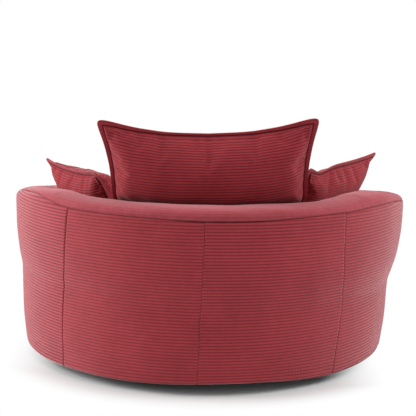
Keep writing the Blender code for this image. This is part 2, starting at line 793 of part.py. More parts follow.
def add_rim_pads(axis):
    """The soft roll on the top rail, in three lengths."""

    def section(bearing):
        seam = seam_height(bearing)
        curve = rim_curve(bearing)
        first = curve[0]
        ledge = drum_radius(seam, bearing) - FRAME_OFFSET
        under = rim_underside(bearing)
        inner = curve[-1][0]
        curve[0] = (first[0], seam + GAP)
        low_ledge = drum_radius(under, bearing) - FRAME_OFFSET
        landings = (inner, inner_pad_top_radius(), INNER_PAD_BACK_RADIUS, FRAME_INNER_RADIUS, low_ledge)
        return [*curve, *[(radius, under) for radius in landings], (ledge, seam + GAP)]

    half = GAP_DEGREES / 2
    joint, end = RIM_SEAM_DEGREES, ARM_END_DEGREES
    spans = (
        ("rim_pad_back", -joint + half, joint - half),
        ("rim_pad_left_arm", -end + half, -joint - half),
        ("rim_pad_right_arm", joint + half, end - half),
    )
    for name, start, stop in spans:
        hang_on(axis, add_swept(name, bearings_between(start, stop), section, "cord"))


def add_inner_pads(axis):
    """The padded inside of the barrel, from the deck to the rim."""

    def section(bearing):
        low = DECK_HEIGHT + GAP
        high = rim_underside(bearing) - GAP
        face = []
        for height_share, bulge_share in INNER_PAD_BULGE_SHARES:
            height = low + (high - low) * height_share
            face.append((INNER_PAD_RADIUS - INNER_PAD_BULGE * bulge_share, height))
        return [*face, (INNER_PAD_BACK_RADIUS, high), (INNER_PAD_BACK_RADIUS, low)]

    half = GAP_DEGREES / 2
    joint, end = INNER_SEAM_DEGREES, ARM_END_DEGREES
    spans = (
        ("inner_pad_back", -joint + half, joint - half),
        ("inner_pad_left_arm", -end + half, -joint - half),
        ("inner_pad_right_arm", joint + half, end - half),
    )
    for name, start, stop in spans:
        hang_on(axis, add_swept(name, bearings_between(start, stop), section, "cord"))


def facing_outline(inset):
    """The outline of an arm's front end above the deck, drawn in by inset."""
    end = ARM_END_DEGREES
    low = DECK_HEIGHT + GAP
    seam = seam_height(end)
    heights = [low, *[z for z, _ in drum_rows(end) if low + GAP < z < seam - GAP]]
    side = [(drum_radius(z, end), z) for z in heights]
    curve = rim_curve(end)
    outline = [*side, *curve, (INNER_PAD_RADIUS, low)]
    middle_radius = sum(r for r, _ in outline) / len(outline)
    middle_height = (low + seam) / 2
    drawn = []
    for radius, height in outline:
        toward = Vector((middle_radius - radius, middle_height - height)).normalized() * inset
        drawn.append((radius + toward.x, height + toward.y))
    return drawn


def add_arm_facings(axis):
    """Padded pieces that close the arms' front ends."""
    for name, side in (("arm_facing_left", -1.0), ("arm_facing_right", 1.0)):
        stations = {}
        for turn_share, inset_share in FACING_SECTION_SHARES:
            bearing = side * (ARM_END_DEGREES + GAP_DEGREES / 2 + FACING_TURN_DEGREES * turn_share)
            stations[bearing] = facing_outline(FACING_ROUND * inset_share)
        hang_on(axis, add_swept(name, sorted(stations), stations.get, "cord"))


def lobe_start():
    """The bearing at which the seat cushion widens in front of an arm."""
    return ARM_END_DEGREES + FACING_TURN_DEGREES * (1.0 + LOBE_START_SHARE)


def seat_outline(bearing):
    """The seat cushion's plan radius: round between the arms, and wider in front of them."""
    share = (abs(bearing) - lobe_start()) / LOBE_TURN_DEGREES
    return SEAT_RADIUS + (SEAT_FRONT_RADIUS - SEAT_RADIUS) * read_between(LOBE_ROUND_SHARES, share)


def seat_height(share):
    """The seat's top surface at a share of its plan radius."""
    return SEAT_EDGE_TOP + SEAT_CROWN * (1.0 - min(1.0, share) ** SEAT_CROWN_POWER)


def seat_ring_radius(share, bearing):
    spread = eased((share - LOBE_SPREAD_SHARE) / (1.0 - LOBE_SPREAD_SHARE))
    return SEAT_RADIUS * share + (seat_outline(bearing) - SEAT_RADIUS) * spread


def add_seat_cushion(axis):
    middle = SEAT_BOTTOM + SEAT_EDGE_HEIGHT / 2
    rings = [
        lambda b: (seat_outline(b) - SEAT_EDGE_ROUND, SEAT_BOTTOM),
        lambda b: (seat_outline(b) - SEAT_SIDE_DRAW, SEAT_BOTTOM + SEAT_EDGE_ROUND),
        lambda b: (seat_outline(b), middle),
        lambda b: (seat_outline(b) - SEAT_SIDE_DRAW, SEAT_EDGE_TOP - SEAT_EDGE_ROUND),
        lambda b: (seat_outline(b) - SEAT_EDGE_ROUND, SEAT_EDGE_TOP),
    ]
    for share in SEAT_TOP_SHARES:
        rings.append(lambda b, s=share: (seat_ring_radius(s, b), seat_height(s)))
    extra = [lobe_start() + LOBE_TURN_DEGREES * share for share in LOBE_STATION_SHARES]
    crest = seat_height(0.0)
    hang_on(axis, add_radial("seat_cushion", whole_round(extra), rings, SEAT_BOTTOM, crest, "cord_cushion"))


def softly_positive(value):
    """Close to the value where it is well above zero, and close to zero where it is well below."""
    return (value + math.sqrt(value * value + SQUASH_SOFTNESS**2)) / 2


def wall_limit(height, bearing):
    """The largest radius that a cushion may reach at a height. It opens out over the rim."""
    seam = seam_height(bearing)
    outer = drum_radius(seam, bearing)
    across = read_between(CUSHION_CLEAR_SHARES, (height - seam) / RIM_CROWN)
    return outer - (outer - WALL_INNER_RADIUS) * across


def flanged_stations(half, count):
    """Shares of the half width: the flange's two edges, and closer steps towards them."""
    inner = 1.0 - FLANGE_WIDTH / half
    even = [2.0 * k / (count - 1) - 1.0 for k in range(count)]
    return [-1.0, *[inner * (share + math.sin(math.pi / 2 * share)) / 2 for share in even], 1.0]


def add_flanged_cushion(name, size, draw, grid, centre, axes, axis):
    """A puffed cushion with a flat border and drawn-in sides, pressed on the seat and against the wall."""
    width, height, thickness = size
    side_draw, top_draw, bottom_draw = draw
    across_axis, up_axis, rear_axis = axes
    columns = flanged_stations(width / 2, grid[0])
    rows = flanged_stations(height / 2, grid[1])
    inner_u, inner_v = columns[-2], rows[-2]
    builder = bmesh.new()
    rear, front = [], []
    for v in rows:
        rear_row, front_row = [], []
        for u in columns:
            fill_u = max(0.0, 1.0 - (u / inner_u) ** 2)
            fill_v = max(0.0, 1.0 - (v / inner_v) ** 2)
            puff = FLANGE_THICKNESS / 2 + (thickness - FLANGE_THICKNESS) / 2 * (fill_u * fill_v) ** PUFF_POWER
            end_draw = top_draw if v > 0.0 else bottom_draw
            x = width / 2 * u * (1.0 - side_draw * (1.0 - v * v) * abs(u) ** CORNER_DRAW_POWER)
            z = height / 2 * v * (1.0 - end_draw * (1.0 - u * u) * abs(v) ** CORNER_DRAW_POWER)
            middle = centre + across_axis * x + up_axis * z
            rear_point = middle + rear_axis * puff
            shift = wall_shift(rear_point)
            rear_row.append(rear_point + shift)
            front_row.append(middle - rear_axis * puff + shift)
        rear.append(rear_row)
        front.append(front_row)
    settle(rear + front)
    rear = [[builder.verts.new(p) for p in row] for row in rear]
    front = [[builder.verts.new(p) for p in row] for row in front]
    join_faces(builder, rear, front)
    hang_on(axis, add_object(name, builder, "cord_cushion"))


def join_faces(builder, rear, front):
    """Makes the rear and front grids into one closed body."""
    row_count, column_count = len(rear), len(rear[0])
    for j in range(row_count - 1):
        for i in range(column_count - 1):
            builder.faces.new((rear[j][i], rear[j][i + 1], rear[j + 1][i + 1], rear[j + 1][i]))
            builder.faces.new((front[j][i], front[j + 1][i], front[j + 1][i + 1], front[j][i + 1]))
    border = [(0, i) for i in range(column_count)]
    border += [(j, column_count - 1) for j in range(1, row_count)]
    border += [(row_count - 1, i) for i in range(column_count - 2, -1, -1)]
    border += [(j, 0) for j in range(row_count - 2, 0, -1)]
    for here, there in zip(border, border[1:] + border[:1]):
        a, b = rear[here[0]][here[1]], rear[there[0]][there[1]]
        c, d = front[there[0]][there[1]], front[here[0]][here[1]]
        builder.faces.new((a, d, c, b))


def wall_shift(rear_point):
    """How far the wall pushes a cushion inwards at a point of its rear face."""
    outward = Vector((rear_point.x, rear_point.y, 0.0))
    bearing = math.degrees(math.atan2(-rear_point.x, rear_point.y))
    push = softly_positive(outward.length - wall_limit(rear_point.z, bearing))
    return -outward.normalized() * push


def settle(rows):
    """Presses the points on the seat's surface, and leaves the lowest of them just clear of it."""
    lifts = []
    for row in rows:
        for point in row:
            surface = seat_height(math.hypot(point.x, point.y) / SEAT_RADIUS)
            lifts.append((point, surface, softly_positive(point.z - surface)))
    least = min(lift for _, _, lift in lifts)
    for point, surface, lift in lifts:
        if point.z < surface + SQUASH_SOFTNESS * SQUASH_REACH_SHARE:
            point.z = surface + lift - least + CUSHION_REST_GAP


def add_back_cushion(axis):
    lean = math.radians(BACK_CUSHION_LEAN_DEGREES)
    up_axis = Vector((0.0, math.sin(lean), math.cos(lean)))
    rear_axis = Vector((0.0, math.cos(lean), -math.sin(lean)))
    top = Vector((0.0, WALL_INNER_RADIUS + BACK_CUSHION_TOP_OUT, BACK_CUSHION_TOP_HEIGHT))
    centre = top - up_axis * BACK_CUSHION_HEIGHT / 2
    size = (BACK_CUSHION_WIDTH, BACK_CUSHION_HEIGHT, BACK_CUSHION_THICKNESS)
    draw = (BACK_CUSHION_SIDE_DRAW_SHARE, BACK_CUSHION_TOP_DRAW_SHARE, CUSHION_BOTTOM_DRAW_SHARE)
    axes = (Vector((1.0, 0.0, 0.0)), up_axis, rear_axis)
    add_flanged_cushion("back_cushion", size, draw, BACK_CUSHION_GRID, centre, axes, axis)


def add_scatter_cushion(name, side, axis):
    """One scatter cushion, leaning on an arm. Side is 1 at +X, the sitter's left, and -1 at -X."""
    lean = math.radians(SCATTER_LEAN_DEGREES)
    heading = math.radians(SCATTER_HEADING_DEGREES)
    outward = Vector((side * math.sin(heading), math.cos(heading), 0.0))
    across_axis = Vector((outward.y, -outward.x, 0.0))
    up_axis = outward * math.sin(lean) + Vector((0.0, 0.0, math.cos(lean)))
    rear_axis = outward * math.cos(lean) - Vector((0.0, 0.0, math.sin(lean)))
    top = Vector((side * (WALL_INNER_RADIUS - SCATTER_TOP_IN), SCATTER_TOP_BACK, SCATTER_TOP_HEIGHT))
    centre = top - up_axis * SCATTER_HEIGHT / 2
    size = (SCATTER_WIDTH, SCATTER_HEIGHT, SCATTER_THICKNESS)
    draw = (SCATTER_SIDE_DRAW_SHARE, SCATTER_TOP_DRAW_SHARE, CUSHION_BOTTOM_DRAW_SHARE)
    axes = (across_axis, up_axis, rear_axis)
    add_flanged_cushion(name, size, draw, SCATTER_GRID, centre, axes, axis)


def build_chair():
    clear_scene()
    add_stand()
    swivel = add_axis("swivel_axis", (0.0, 0.0, RACE_HEIGHT))
    add_turntable_top(swivel)
    add_rings(swivel)
    add_top_rail(swivel)
    add_ribs(swivel)
    add_webbing(swivel)
    add_deck_pad(swivel)
    add_backing_boards(swivel)
    add_cover_panels(swivel)
    add_rim_pads(swivel)
    add_inner_pads(swivel)
    add_arm_facings(swivel)
    seat = add_axis("seat_lift_axis", (0.0, 0.0, SEAT_BOTTOM))
    hang_on(swivel, seat)
    add_seat_cushion(seat)
    for name, builder in (
        ("back_cushion_lift_axis", add_back_cushion),
        ("left_scatter_lift_axis", lambda a: add_scatter_cushion("scatter_cushion_left", 1.0, a)),
        ("right_scatter_lift_axis", lambda a: add_scatter_cushion("scatter_cushion_right", -1.0, a)),
    ):
        lift = add_axis(name, (0.0, 0.0, SEAT_EDGE_TOP))
        hang_on(seat, lift)
        builder(lift)


build_chair()
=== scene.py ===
import math
from collections import namedtuple

import bmesh
import bpy
import numpy as np
from mathutils import Euler, Matrix, Vector
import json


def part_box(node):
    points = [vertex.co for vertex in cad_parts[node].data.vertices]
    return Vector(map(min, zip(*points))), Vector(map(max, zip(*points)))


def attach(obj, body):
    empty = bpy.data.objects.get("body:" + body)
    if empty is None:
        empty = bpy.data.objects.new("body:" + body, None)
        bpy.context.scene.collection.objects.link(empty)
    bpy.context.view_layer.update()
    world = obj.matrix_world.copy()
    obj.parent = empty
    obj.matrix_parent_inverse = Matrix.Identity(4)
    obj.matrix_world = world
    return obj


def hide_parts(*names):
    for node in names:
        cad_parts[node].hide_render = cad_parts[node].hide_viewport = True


# A round swivel barrel chair in wide red cord. Metres, +Z up, the origin on the floor on the swivel axis.
# A bearing is an angle in degrees round the axis, from the middle of the back (+Y) towards -X.

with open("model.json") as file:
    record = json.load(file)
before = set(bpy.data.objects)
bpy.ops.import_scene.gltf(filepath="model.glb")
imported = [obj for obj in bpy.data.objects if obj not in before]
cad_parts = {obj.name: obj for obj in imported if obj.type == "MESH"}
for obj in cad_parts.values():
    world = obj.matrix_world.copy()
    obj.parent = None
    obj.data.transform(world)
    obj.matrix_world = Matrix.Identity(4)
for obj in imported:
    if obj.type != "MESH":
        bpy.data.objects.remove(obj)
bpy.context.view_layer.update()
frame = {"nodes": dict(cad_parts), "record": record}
nodes = frame["nodes"]

# Sizes that the solids in model.glb also have
RIM_RADIUS = 0.630
HEM_HEIGHT = 0.032
SEAM_HEIGHT = 0.515
WALL_WIDTH = 0.145
WALL_INNER_RADIUS = RIM_RADIUS - WALL_WIDTH
RIM_CROWN = 0.034
ARM_DROP = 0.087
DROP_START_DEGREES = 57.0
DROP_POWER = 1.16
ARM_END_DEGREES = 132.0
GAP = 0.0003
RIM_PAD_DEPTH = 0.045
RIM_SEAM_DEGREES = 48.0
INNER_PAD_RADIUS = 0.488
INNER_PAD_BACK_RADIUS = 0.530
INNER_PAD_BULGE = 0.003
INNER_PAD_BULGE_SHARES = ((0.0, 0.0), (0.25, 0.8), (0.5, 1.0), (0.75, 0.8), (1.0, 0.2))
DECK_HEIGHT = 0.207
DECK_PAD_BOTTOM = 0.1925
FACING_TURN_DEGREES = 3.4
FACING_ROUND = 0.014
FRAME_OFFSET = 0.0116
RIB_EDGE_CLEARANCE = 0.0009
RAIL_END_DEGREES = 130.0
SEAT_RING_RADIUS = 0.530
SEAT_RING_WIDTH = 0.108
DUST_INNER_RADIUS = 0.310
SEAT_RADIUS = 0.482
SEAT_FRONT_RADIUS = 0.619
SEAT_BOTTOM = DECK_HEIGHT + GAP
SEAT_SIDE_HEIGHT = 0.128
SEAT_EDGE_TOP = SEAT_BOTTOM + SEAT_SIDE_HEIGHT
SEAT_CROWN = 0.035
SEAT_CROWN_POWER = 2.6
SEAT_EDGE_ROUND = 0.016
LOBE_START_DEGREES = 136.59
LOBE_TURN_DEGREES = 3.0
LOBE_ROUND_SHARES = ((0.0, 0.0), (0.15, 0.62), (0.35, 0.88), (0.6, 0.97), (1.0, 1.0))

# The drum's radius from hem to edge, and the rim's section: (across the wall, up to the crown)
DRUM_PROFILE_SHARES = (
    (0.00, 0.931), (0.20, 0.9485), (0.42, 0.956), (0.51, 0.967),
    (0.60, 0.983), (0.70, 0.993), (0.80, 0.9985), (1.00, 1.000),
)
RIM_SECTION_SHARES = (
    (0.000, 0.00), (0.006, 0.28), (0.040, 0.56), (0.120, 0.80), (0.260, 0.95), (0.440, 1.00),
    (0.620, 0.94), (0.780, 0.76), (0.900, 0.45), (0.975, 0.02), (1.000, -0.55), (1.000, -1.31),
)

# How far across the wall the cushions keep clear of it: (height over the drum's edge, share across)
CUSHION_CLEAR_SHARES = (
    (-0.55, 1.035), (0.10, 1.030), (0.62, 0.950), (1.00, 0.815), (1.20, 0.640),
    (1.28, 0.440), (1.38, 0.260), (1.60, 0.000), (2.10, -0.500), (3.00, -3.000),
)

# The covers lean a little to one side from hem to rim: (height, shift towards -X)
COVER_LEAN = (
    (0.030, -0.0110), (0.155, -0.0081), (0.220, -0.0065), (0.250, -0.0040),
    (0.280, 0.0013), (0.340, 0.0055), (0.450, 0.0098), (0.549, 0.0098),
)
INWARD_LIMIT = 0.0038
LEAN_FADE_SHARE = 0.80

# Upright seams of the covers: (height, bearing)
LEFT_SEAM = (
    (0.032, -45.25), (0.100, -44.45), (0.170, -44.2), (0.250, -43.75), (0.280, -43.55),
    (0.340, -42.65), (0.420, -41.75), (0.470, -41.3), (0.515, -40.6),
)
MIDDLE_SEAM = ((0.032, -1.1), (0.170, -0.9), (0.250, -1.0), (0.280, -1.3), (0.340, -1.5), (0.515, -1.4))
RIGHT_SEAM = (
    (0.032, 41.7), (0.100, 41.7), (0.170, 42.2), (0.220, 42.4), (0.250, 42.1),
    (0.280, 40.9), (0.340, 39.4), (0.420, 38.2), (0.515, 37.9),
)

# The rim's outer seam climbs over the shoulders beside the arms: (bearing, skin above the drum's edge)
SEAM_CLIMB = (
    (-120.0, 0.0000), (-100.0, 0.0280), (-73.5, 0.0380), (-58.5, 0.0310), (-50.0, 0.0172),
    (-45.9, 0.0130), (-40.1, 0.0070), (-29.7, 0.0048), (-20.0, 0.0030), (-10.0, 0.0000),
    (-1.5, -0.0028), (12.4, -0.0010), (24.0, 0.0040), (32.3, 0.0065), (40.0, 0.0070),
    (47.0, 0.0088), (56.0, 0.0095), (65.0, 0.0125), (90.0, 0.0110), (120.0, 0.0000),
)

# The hem hangs a little unevenly: (bearing, how far it hangs below its mean height)
HEM_SAG = (
    (-115.0, 0.0000), (-60.0, 0.0066), (-52.0, 0.0060), (-38.0, 0.0050), (-25.0, 0.0050),
    (-13.0, 0.0030), (-4.0, 0.0003), (8.0, -0.0020), (16.0, -0.0015), (22.0, 0.0000),
    (33.0, 0.0050), (42.0, 0.0070), (52.0, 0.0060), (65.0, 0.0050), (115.0, 0.0000),
)
HEM_SAG_REACH = 0.060

# The padding stands higher at the shoulders: (bearing, added height of the crown)
SHOULDER_LIFT = (
    (-78.0, 0.000), (-62.0, 0.004), (-51.0, 0.008), (-43.0, 0.004), (-33.0, 0.000), (33.0, 0.000),
    (43.7, 0.005), (51.0, 0.010), (59.0, 0.010), (68.0, 0.005), (78.0, 0.000),
)

# Cord
COVER_PITCH = 0.00925
RIM_PITCH = 0.0094
CUSHION_PITCH = 0.0086
BACK_CUSHION_PITCH = 0.0087
COVER_RIB_DEPTH = 0.0022
RIM_RIB_DEPTH = 0.0006
INNER_RIB_DEPTH = 0.0012
FACING_RIB_DEPTH = 0.0013
CUSHION_RIB_DEPTH = 0.0012
BORDER_RIB_DEPTH = 0.0010
CREST_SINK = 0.0010
RIB_POWER = 0.62
COVER_ROWS_A_RIB = 6
ROWS_A_RIB = 5
COLUMN_DEGREES = 1.5
COLUMNS_A_FOLD = 4

# Covers
SEAM_ROLL_DEPTH = 0.0026
MIDDLE_ROLL_DEPTH = 0.0018
RIGHT_ROLL_DEPTH = 0.0010
SEAM_ROLL_WIDTH = 0.0034
SEAM_STATIONS = (0.0, 0.0008, 0.0018, 0.0034, 0.0060)
COVER_TOP_ROLL = 0.0030
BORDER_TOP_ROLL = 0.0058
TOP_ROLL_WIDTH_SHARE = 1.6
HEM_ROLL_WIDTH = 0.0075
HEM_ROLL_DEPTH = 0.0030
COVER_BACK_OFFSET = 0.0076
COVER_BACK_ROWS = 9
COVER_SOFTNESS = 0.0007
SEAM_PROBES = 9
TOP_PROBES = 181
SKIN_STEP = 0.0008

# Slow unevenness: waves round the chair, how much they slant, and waves up the height
SOFT_COUNTS = (5, 9, 14, 23)
SOFT_SLANT = (4.0, 14.0)
SOFT_RISE = 9.0

# Gathered places near the hem: (bearing, height, spacing in degrees, reach in degrees, reach in height)
PUCKERS = ((-59.5, 0.062, 1.6, 4.5, 0.022), (27.0, 0.050, 1.0, 4.0, 0.014))
PUCKER_DEPTH = 0.0018
GATHERED_REACHES = 1.5

# Small gathers in the rim's skin beside the right seam: bearing, reach and spacing in degrees
PLEAT_ZONE = (43.0, 6.0, 0.95)
PLEAT_DEPTH = 0.0013
PLEAT_PLACE = 0.026
PLEAT_REACH = 0.011

# Rim, inside pads and arm fronts
LIP_DEPTH = 0.0019
LIP_WIDTH = 0.0015
# Share of painted shade at the rim's lip along its seam
LIP_SHADE_SHARE = 0.55
RIM_JOINT_DEPTH = 0.0002
RIM_SOFTNESS = 0.0010
RIM_SOFT_STRETCH = 4.0
# Share of painted shade in the rim's grooves
RIM_GROOVE_SHADE_SHARE = 0.30
INNER_TOP_ROLL = 0.004
INNER_TOP_ROLL_WIDTH = 0.006
INNER_SOFTNESS = 0.0006
FACING_COLUMNS = 25
FACING_BACK_STEP = 4
FACING_SKIN_POINTS = 121
FACING_TOP_CLEARANCE = 0.0004
FACING_CORNER_SHARE = 0.5
FACING_EDGE_SHARE = 0.40

# Seat cushion
SEAT_COLUMNS = 61
SEAT_OUTLINE_POINTS = 1441
SEAT_BORDER_POINTS = 360
SEAT_SINK = 0.0006
HOLLOW_DEPTH = 0.0018
HOLLOW_WAVES = ((7.0, 1.0), (6.0, 0.4))
BORDER_INSET = 0.006
BORDER_BELLY = 0.004
UNDER_LIFT = 0.0015
UNDER_SHARES = (0.985, 0.96, 0.5)
# Share of painted shade on the seat's underside
UNDER_SHADE_SHARE = 0.5
PIPING_RADIUS = 0.0032
PIPING_INSET = 0.004
PIPING_SIDES = 10
# Share of painted shade on the piping
PIPING_SHADE_SHARE = 0.25

# Flanged cushions
FLANGE_WIDTH = 0.015
FLANGE_THICKNESS = 0.005
FLANGE_STATIONS = (
    0.0, 0.0006, 0.0014, 0.0026, 0.0060, 0.0100, 0.0124, 0.0137, 0.0145, 0.0150,
    0.0155, 0.0163, 0.0176, 0.0195, 0.0225, 0.0270,
)
FLANGE_RIB_SHARE = 0.55
BODY_RIB_SHARE = 0.45
BODY_RIB_WIDTH = 0.004
EDGE_ROUND = 0.0026
EDGE_ROUND_SHARES = (0.25, 0.55)
SEAM_PINCH_WIDTH = 0.0016
SEAM_PINCH_SHARE = 0.30
# Share of painted shade in the pinch along the flange's seam
PINCH_SHADE_SHARE = 1.2
CUSHION_CORNER_RADIUS = 0.016
CUSHION_COLUMN_STEP = 0.0070
CUSHION_BOTTOM_DRAW_SHARE = 0.05
CORNER_DRAW_POWER = 2.0
PUFF_POWER = 0.45
EAR_START_SHARE = 0.62
EAR_ALLOWANCE = 0.008
SQUASH_SOFTNESS = 0.008
SQUASH_REACHES = 6.0
CUSHION_REST_GAP = 0.0012
WALL_MARGIN = 0.0010
COARSE_GRID = (45, 37)
FOLD_DEPTH = 0.0011
FOLD_WAVES = (9.0, 5.0)
FOLD_FADE_WIDTH = 0.03
CREASE_COUNTS = (2.0, 3.5, 5.5, 8.0)
CREASE_SLANT = 1.4
CREASE_RISE = 1.7

# How far an edge draws in along its length, as a share of its draw: (place from middle to corner, share)
DRAW_SHARES = (
    (0.00, 1.00), (0.25, 0.94), (0.40, 0.86), (0.50, 0.75), (0.62, 0.60),
    (0.75, 0.38), (0.85, 0.18), (0.93, 0.05), (1.00, 0.00),
)

# Filling by cloth simulation
START_SHARE = 0.93
SWELL_FRAMES = 20
SWELL_CAP = 0.022
HELD_ROWS = 2
CLOTH_SETTINGS = {
    "quality": 6,
    "mass": 0.25,
    "tension_stiffness": 14.0,
    "compression_stiffness": 10.0,
    "shear_stiffness": 6.0,
    "bending_stiffness": 0.35,
    "use_pressure": True,
    "uniform_pressure_force": 4.0,
    "shrink_min": -0.025,
    "vertex_group_mass": "held",
}

# Floors under divisors
LEAST_MOVE = GAP / 100
LEAST_LENGTH = GAP * GAP
LEAST_AREA = GAP * GAP * GAP


def smooth_between(pairs, at):
    """A smooth reading of (place, value) pairs that never overshoots them."""
    places, values = np.array(pairs, float).T
    steps = np.diff(places)
    slopes = np.diff(values) / steps
    tangents = np.zeros(len(values))
    tangents[0], tangents[-1] = slopes[0], slopes[-1]
    same = slopes[1:] * slopes[:-1] > 0
    total = np.where(same, slopes[1:] + slopes[:-1], 1.0)
    tangents[1:-1] = np.where(same, 2 * slopes[1:] * slopes[:-1] / total, 0.0)
    at = np.clip(at, places[0], places[-1])
    k = np.clip(np.searchsorted(places, at, side="right") - 1, 0, len(steps) - 1)
    t = (at - places[k]) / steps[k]
    rise = t * t * (3 - 2 * t)
    value = values[k] + (values[k + 1] - values[k]) * rise
    value = value + steps[k] * tangents[k] * t * (1 - t) ** 2
    return value - steps[k] * tangents[k + 1] * t * t * (1 - t)


def straight_between(pairs, at):
    return np.interp(at, *zip(*pairs))


def eased(share):
    share = np.clip(share, 0.0, 1.0)
    return share * share * (3.0 - 2.0 * share)


def quarter_round(share):
    return np.sqrt(np.maximum(0.0, 1.0 - (1.0 - share) ** 2))


def at_bearing(radius, height, bearing):
    radius, height, turn = np.broadcast_arrays(radius, height, np.radians(bearing))
    return np.stack([-radius * np.sin(turn), radius * np.cos(turn), height], -1)


def bearing_of(x, y):
    return np.degrees(np.arctan2(-x, y))


def all_round(count):
    """Bearings once round the chair."""
    return np.linspace(-180.0, 180.0, count + 1)[:-1]


def seam_height(bearing):
    past = (np.abs(bearing) - DROP_START_DEGREES) / (ARM_END_DEGREES - DROP_START_DEGREES)
    return SEAM_HEIGHT - ARM_DROP * np.clip(past, 0.0, 1.0) ** DROP_POWER


def drum_radius(height):
    share = (height - HEM_HEIGHT) / (SEAM_HEIGHT - HEM_HEIGHT)
    return RIM_RADIUS * smooth_between(DRUM_PROFILE_SHARES, share)


def rib_rise(phase):
    """How high the pile stands at a count of ribs: rounded tops, and narrow grooves at whole numbers."""
    return np.abs(np.sin(math.pi * phase)) ** RIB_POWER


def softness(bearing, height, reach, seed):
    """Slow hand-made unevenness of an upholstered surface, between about -reach and reach."""
    turn = np.radians(bearing)
    waves = np.random.default_rng(seed)
    total = 0.0 * (turn + height)
    for count in SOFT_COUNTS:
        phases = waves.uniform(0.0, math.tau, 2)
        slant = waves.uniform(*SOFT_SLANT)
        around = np.sin(count * turn + phases[0] + slant * height)
        total = total + around * np.sin(SOFT_RISE * height + phases[1])
    return reach * total / 2.0


def cover_shift(points, keep):
    """The covers' sideways lean, held back where it would press them into the boards."""
    outward = points[..., :2] / np.linalg.norm(points[..., :2], axis=-1, keepdims=True)
    lean = straight_between(COVER_LEAN, points[..., 2]) * keep
    along = -lean * outward[..., 0]
    held = np.where(along < 0.0, -INWARD_LIMIT * np.tanh(-along / INWARD_LIMIT), along)
    moved = points.copy()
    moved[..., 0] += -lean + (held - along) * outward[..., 0]
    moved[..., 1] += (held - along) * outward[..., 1]
    return moved


def add_object(name, data):
    made = bpy.data.objects.new(name, data)
    bpy.context.scene.collection.objects.link(made)
    return made


def closed_mesh(name, points, faces):
    """A mesh whose faces look outwards."""
    mesh = bpy.data.meshes.new(name)
    mesh.from_pydata(np.asarray(points).reshape(-1, 3).tolist(), [], faces)
    builder = bmesh.new()
    builder.from_mesh(mesh)
    bmesh.ops.recalc_face_normals(builder, faces=builder.faces)
    builder.to_mesh(mesh)
    builder.free()
    return mesh


def finish_mesh(name, points, faces, painted_shade, look):
    """A smooth-shaded object with its material and a point attribute of painted shade, which darkens its
    grooves, seams and undersides.
    """
    mesh = closed_mesh(name, points, faces)
    stored = mesh.attributes.new("painted_shade", "FLOAT", "POINT")
    stored.data.foreach_set("value", np.asarray(painted_shade, np.float32).ravel())
    mesh.shade_smooth()
    mesh.materials.append(look)
    return add_object(name, mesh)


def grid_faces(rows, columns, first=0, round_columns=False):
    """Quads of a grid of points, stored row by row."""
    faces = []
    last = columns if round_columns else columns - 1
    for j in range(rows - 1):
        base = first + j * columns
        for i in range(last):
            after = (i + 1) % columns
            faces.append((base + i, base + after, base + columns + after, base + columns + i))
    return faces


def loft(name, stations, painted_shade, look, closed=False):
    """Closed outlines, one at each station, skinned over and capped, or joined end to end."""
    count, around = stations.shape[:2]
    faces = grid_faces(count, around, round_columns=True)
    base = (count - 1) * around
    if closed:
        for i in range(around):
            after = (i + 1) % around
            faces.append((base + i, base + after, after, i))
    else:
        faces.append(tuple(range(around)))
        faces.append(tuple(range(base, count * around)))
    return finish_mesh(name, stations, faces, painted_shade, look)


def loft_skin(name, skin, painted_shade, back, look):
    """A loft of a ribbed skin and the plain points behind it."""
    stations = np.concatenate([skin, back], axis=1)
    painted_shade = np.concatenate([painted_shade, np.ones(back.shape[:2])], axis=1)
    return loft(name, stations, painted_shade, look)


def panel_shares(span, start=0.0, zones=()):
    """Shares across a panel, close together at its two seams and in its gathered zones."""
    near = np.degrees(np.array(SEAM_STATIONS) / RIM_RADIUS) / span
    count = max(2, round(span * (1.0 - 2 * near[-1]) / COLUMN_DEGREES))
    inside = np.linspace(near[-1], 1.0 - near[-1], count + 1)
    for centre, reach, spacing in zones:
        fine = (np.arange(centre - reach, centre + reach, spacing / COLUMNS_A_FOLD) - start) / span
        fine = fine[(fine > near[-1]) & (fine < 1.0 - near[-1])]
        if len(fine):
            outside = (inside < fine[0]) | (inside > fine[-1])
            inside = np.sort(np.concatenate([inside[outside], fine]))
    return np.concatenate([near[:-1], inside, 1.0 - near[:-1][::-1]])


def edge_roll(shares, span, depth=SEAM_ROLL_DEPTH):
    """How far a panel turns in at its side seams, at each share across it."""
    from_edge = np.radians(np.minimum(shares, 1.0 - shares) * span) * RIM_RADIUS
    return depth * (1.0 - eased(from_edge / SEAM_ROLL_WIDTH))


# The rim's section, read by the length of skin from the drum's outer edge
rim_across, rim_up = np.array(RIM_SECTION_SHARES).T
rim_steps = np.hypot(np.diff(rim_across) * WALL_WIDTH, np.diff(rim_up) * RIM_CROWN)
rim_places = np.concatenate([[0.0], np.cumsum(rim_steps)])
RIM_LENGTH = float(rim_places[-1])
RIM_ACROSS = list(zip(rim_places, rim_across))
RIM_UP = list(zip(rim_places, rim_up))


def skin_across(place):
    """The share across the wall at a length of skin past the drum's outer edge."""
    return smooth_between(RIM_ACROSS, np.maximum(place, 0.0))


def crown_rise(bearing):
    """The rim's height over the drum's edge."""
    return RIM_CROWN + smooth_between(SHOULDER_LIFT, bearing)


def skin_at(place, bearing):
    """Radius and height of the outer skin. Below its edge the place is a height less the edge's height."""
    seam = seam_height(bearing)
    outer = drum_radius(seam)
    up = smooth_between(RIM_UP, np.maximum(place, 0.0))
    rise = np.where(up > 0.0, crown_rise(bearing), RIM_CROWN)
    over_rim = outer - (outer - WALL_INNER_RADIUS) * skin_across(place)
    radius = np.where(place < 0.0, drum_radius(seam + place), over_rim)
    height = np.where(place < 0.0, seam + place, seam + rise * up)
    return radius, height


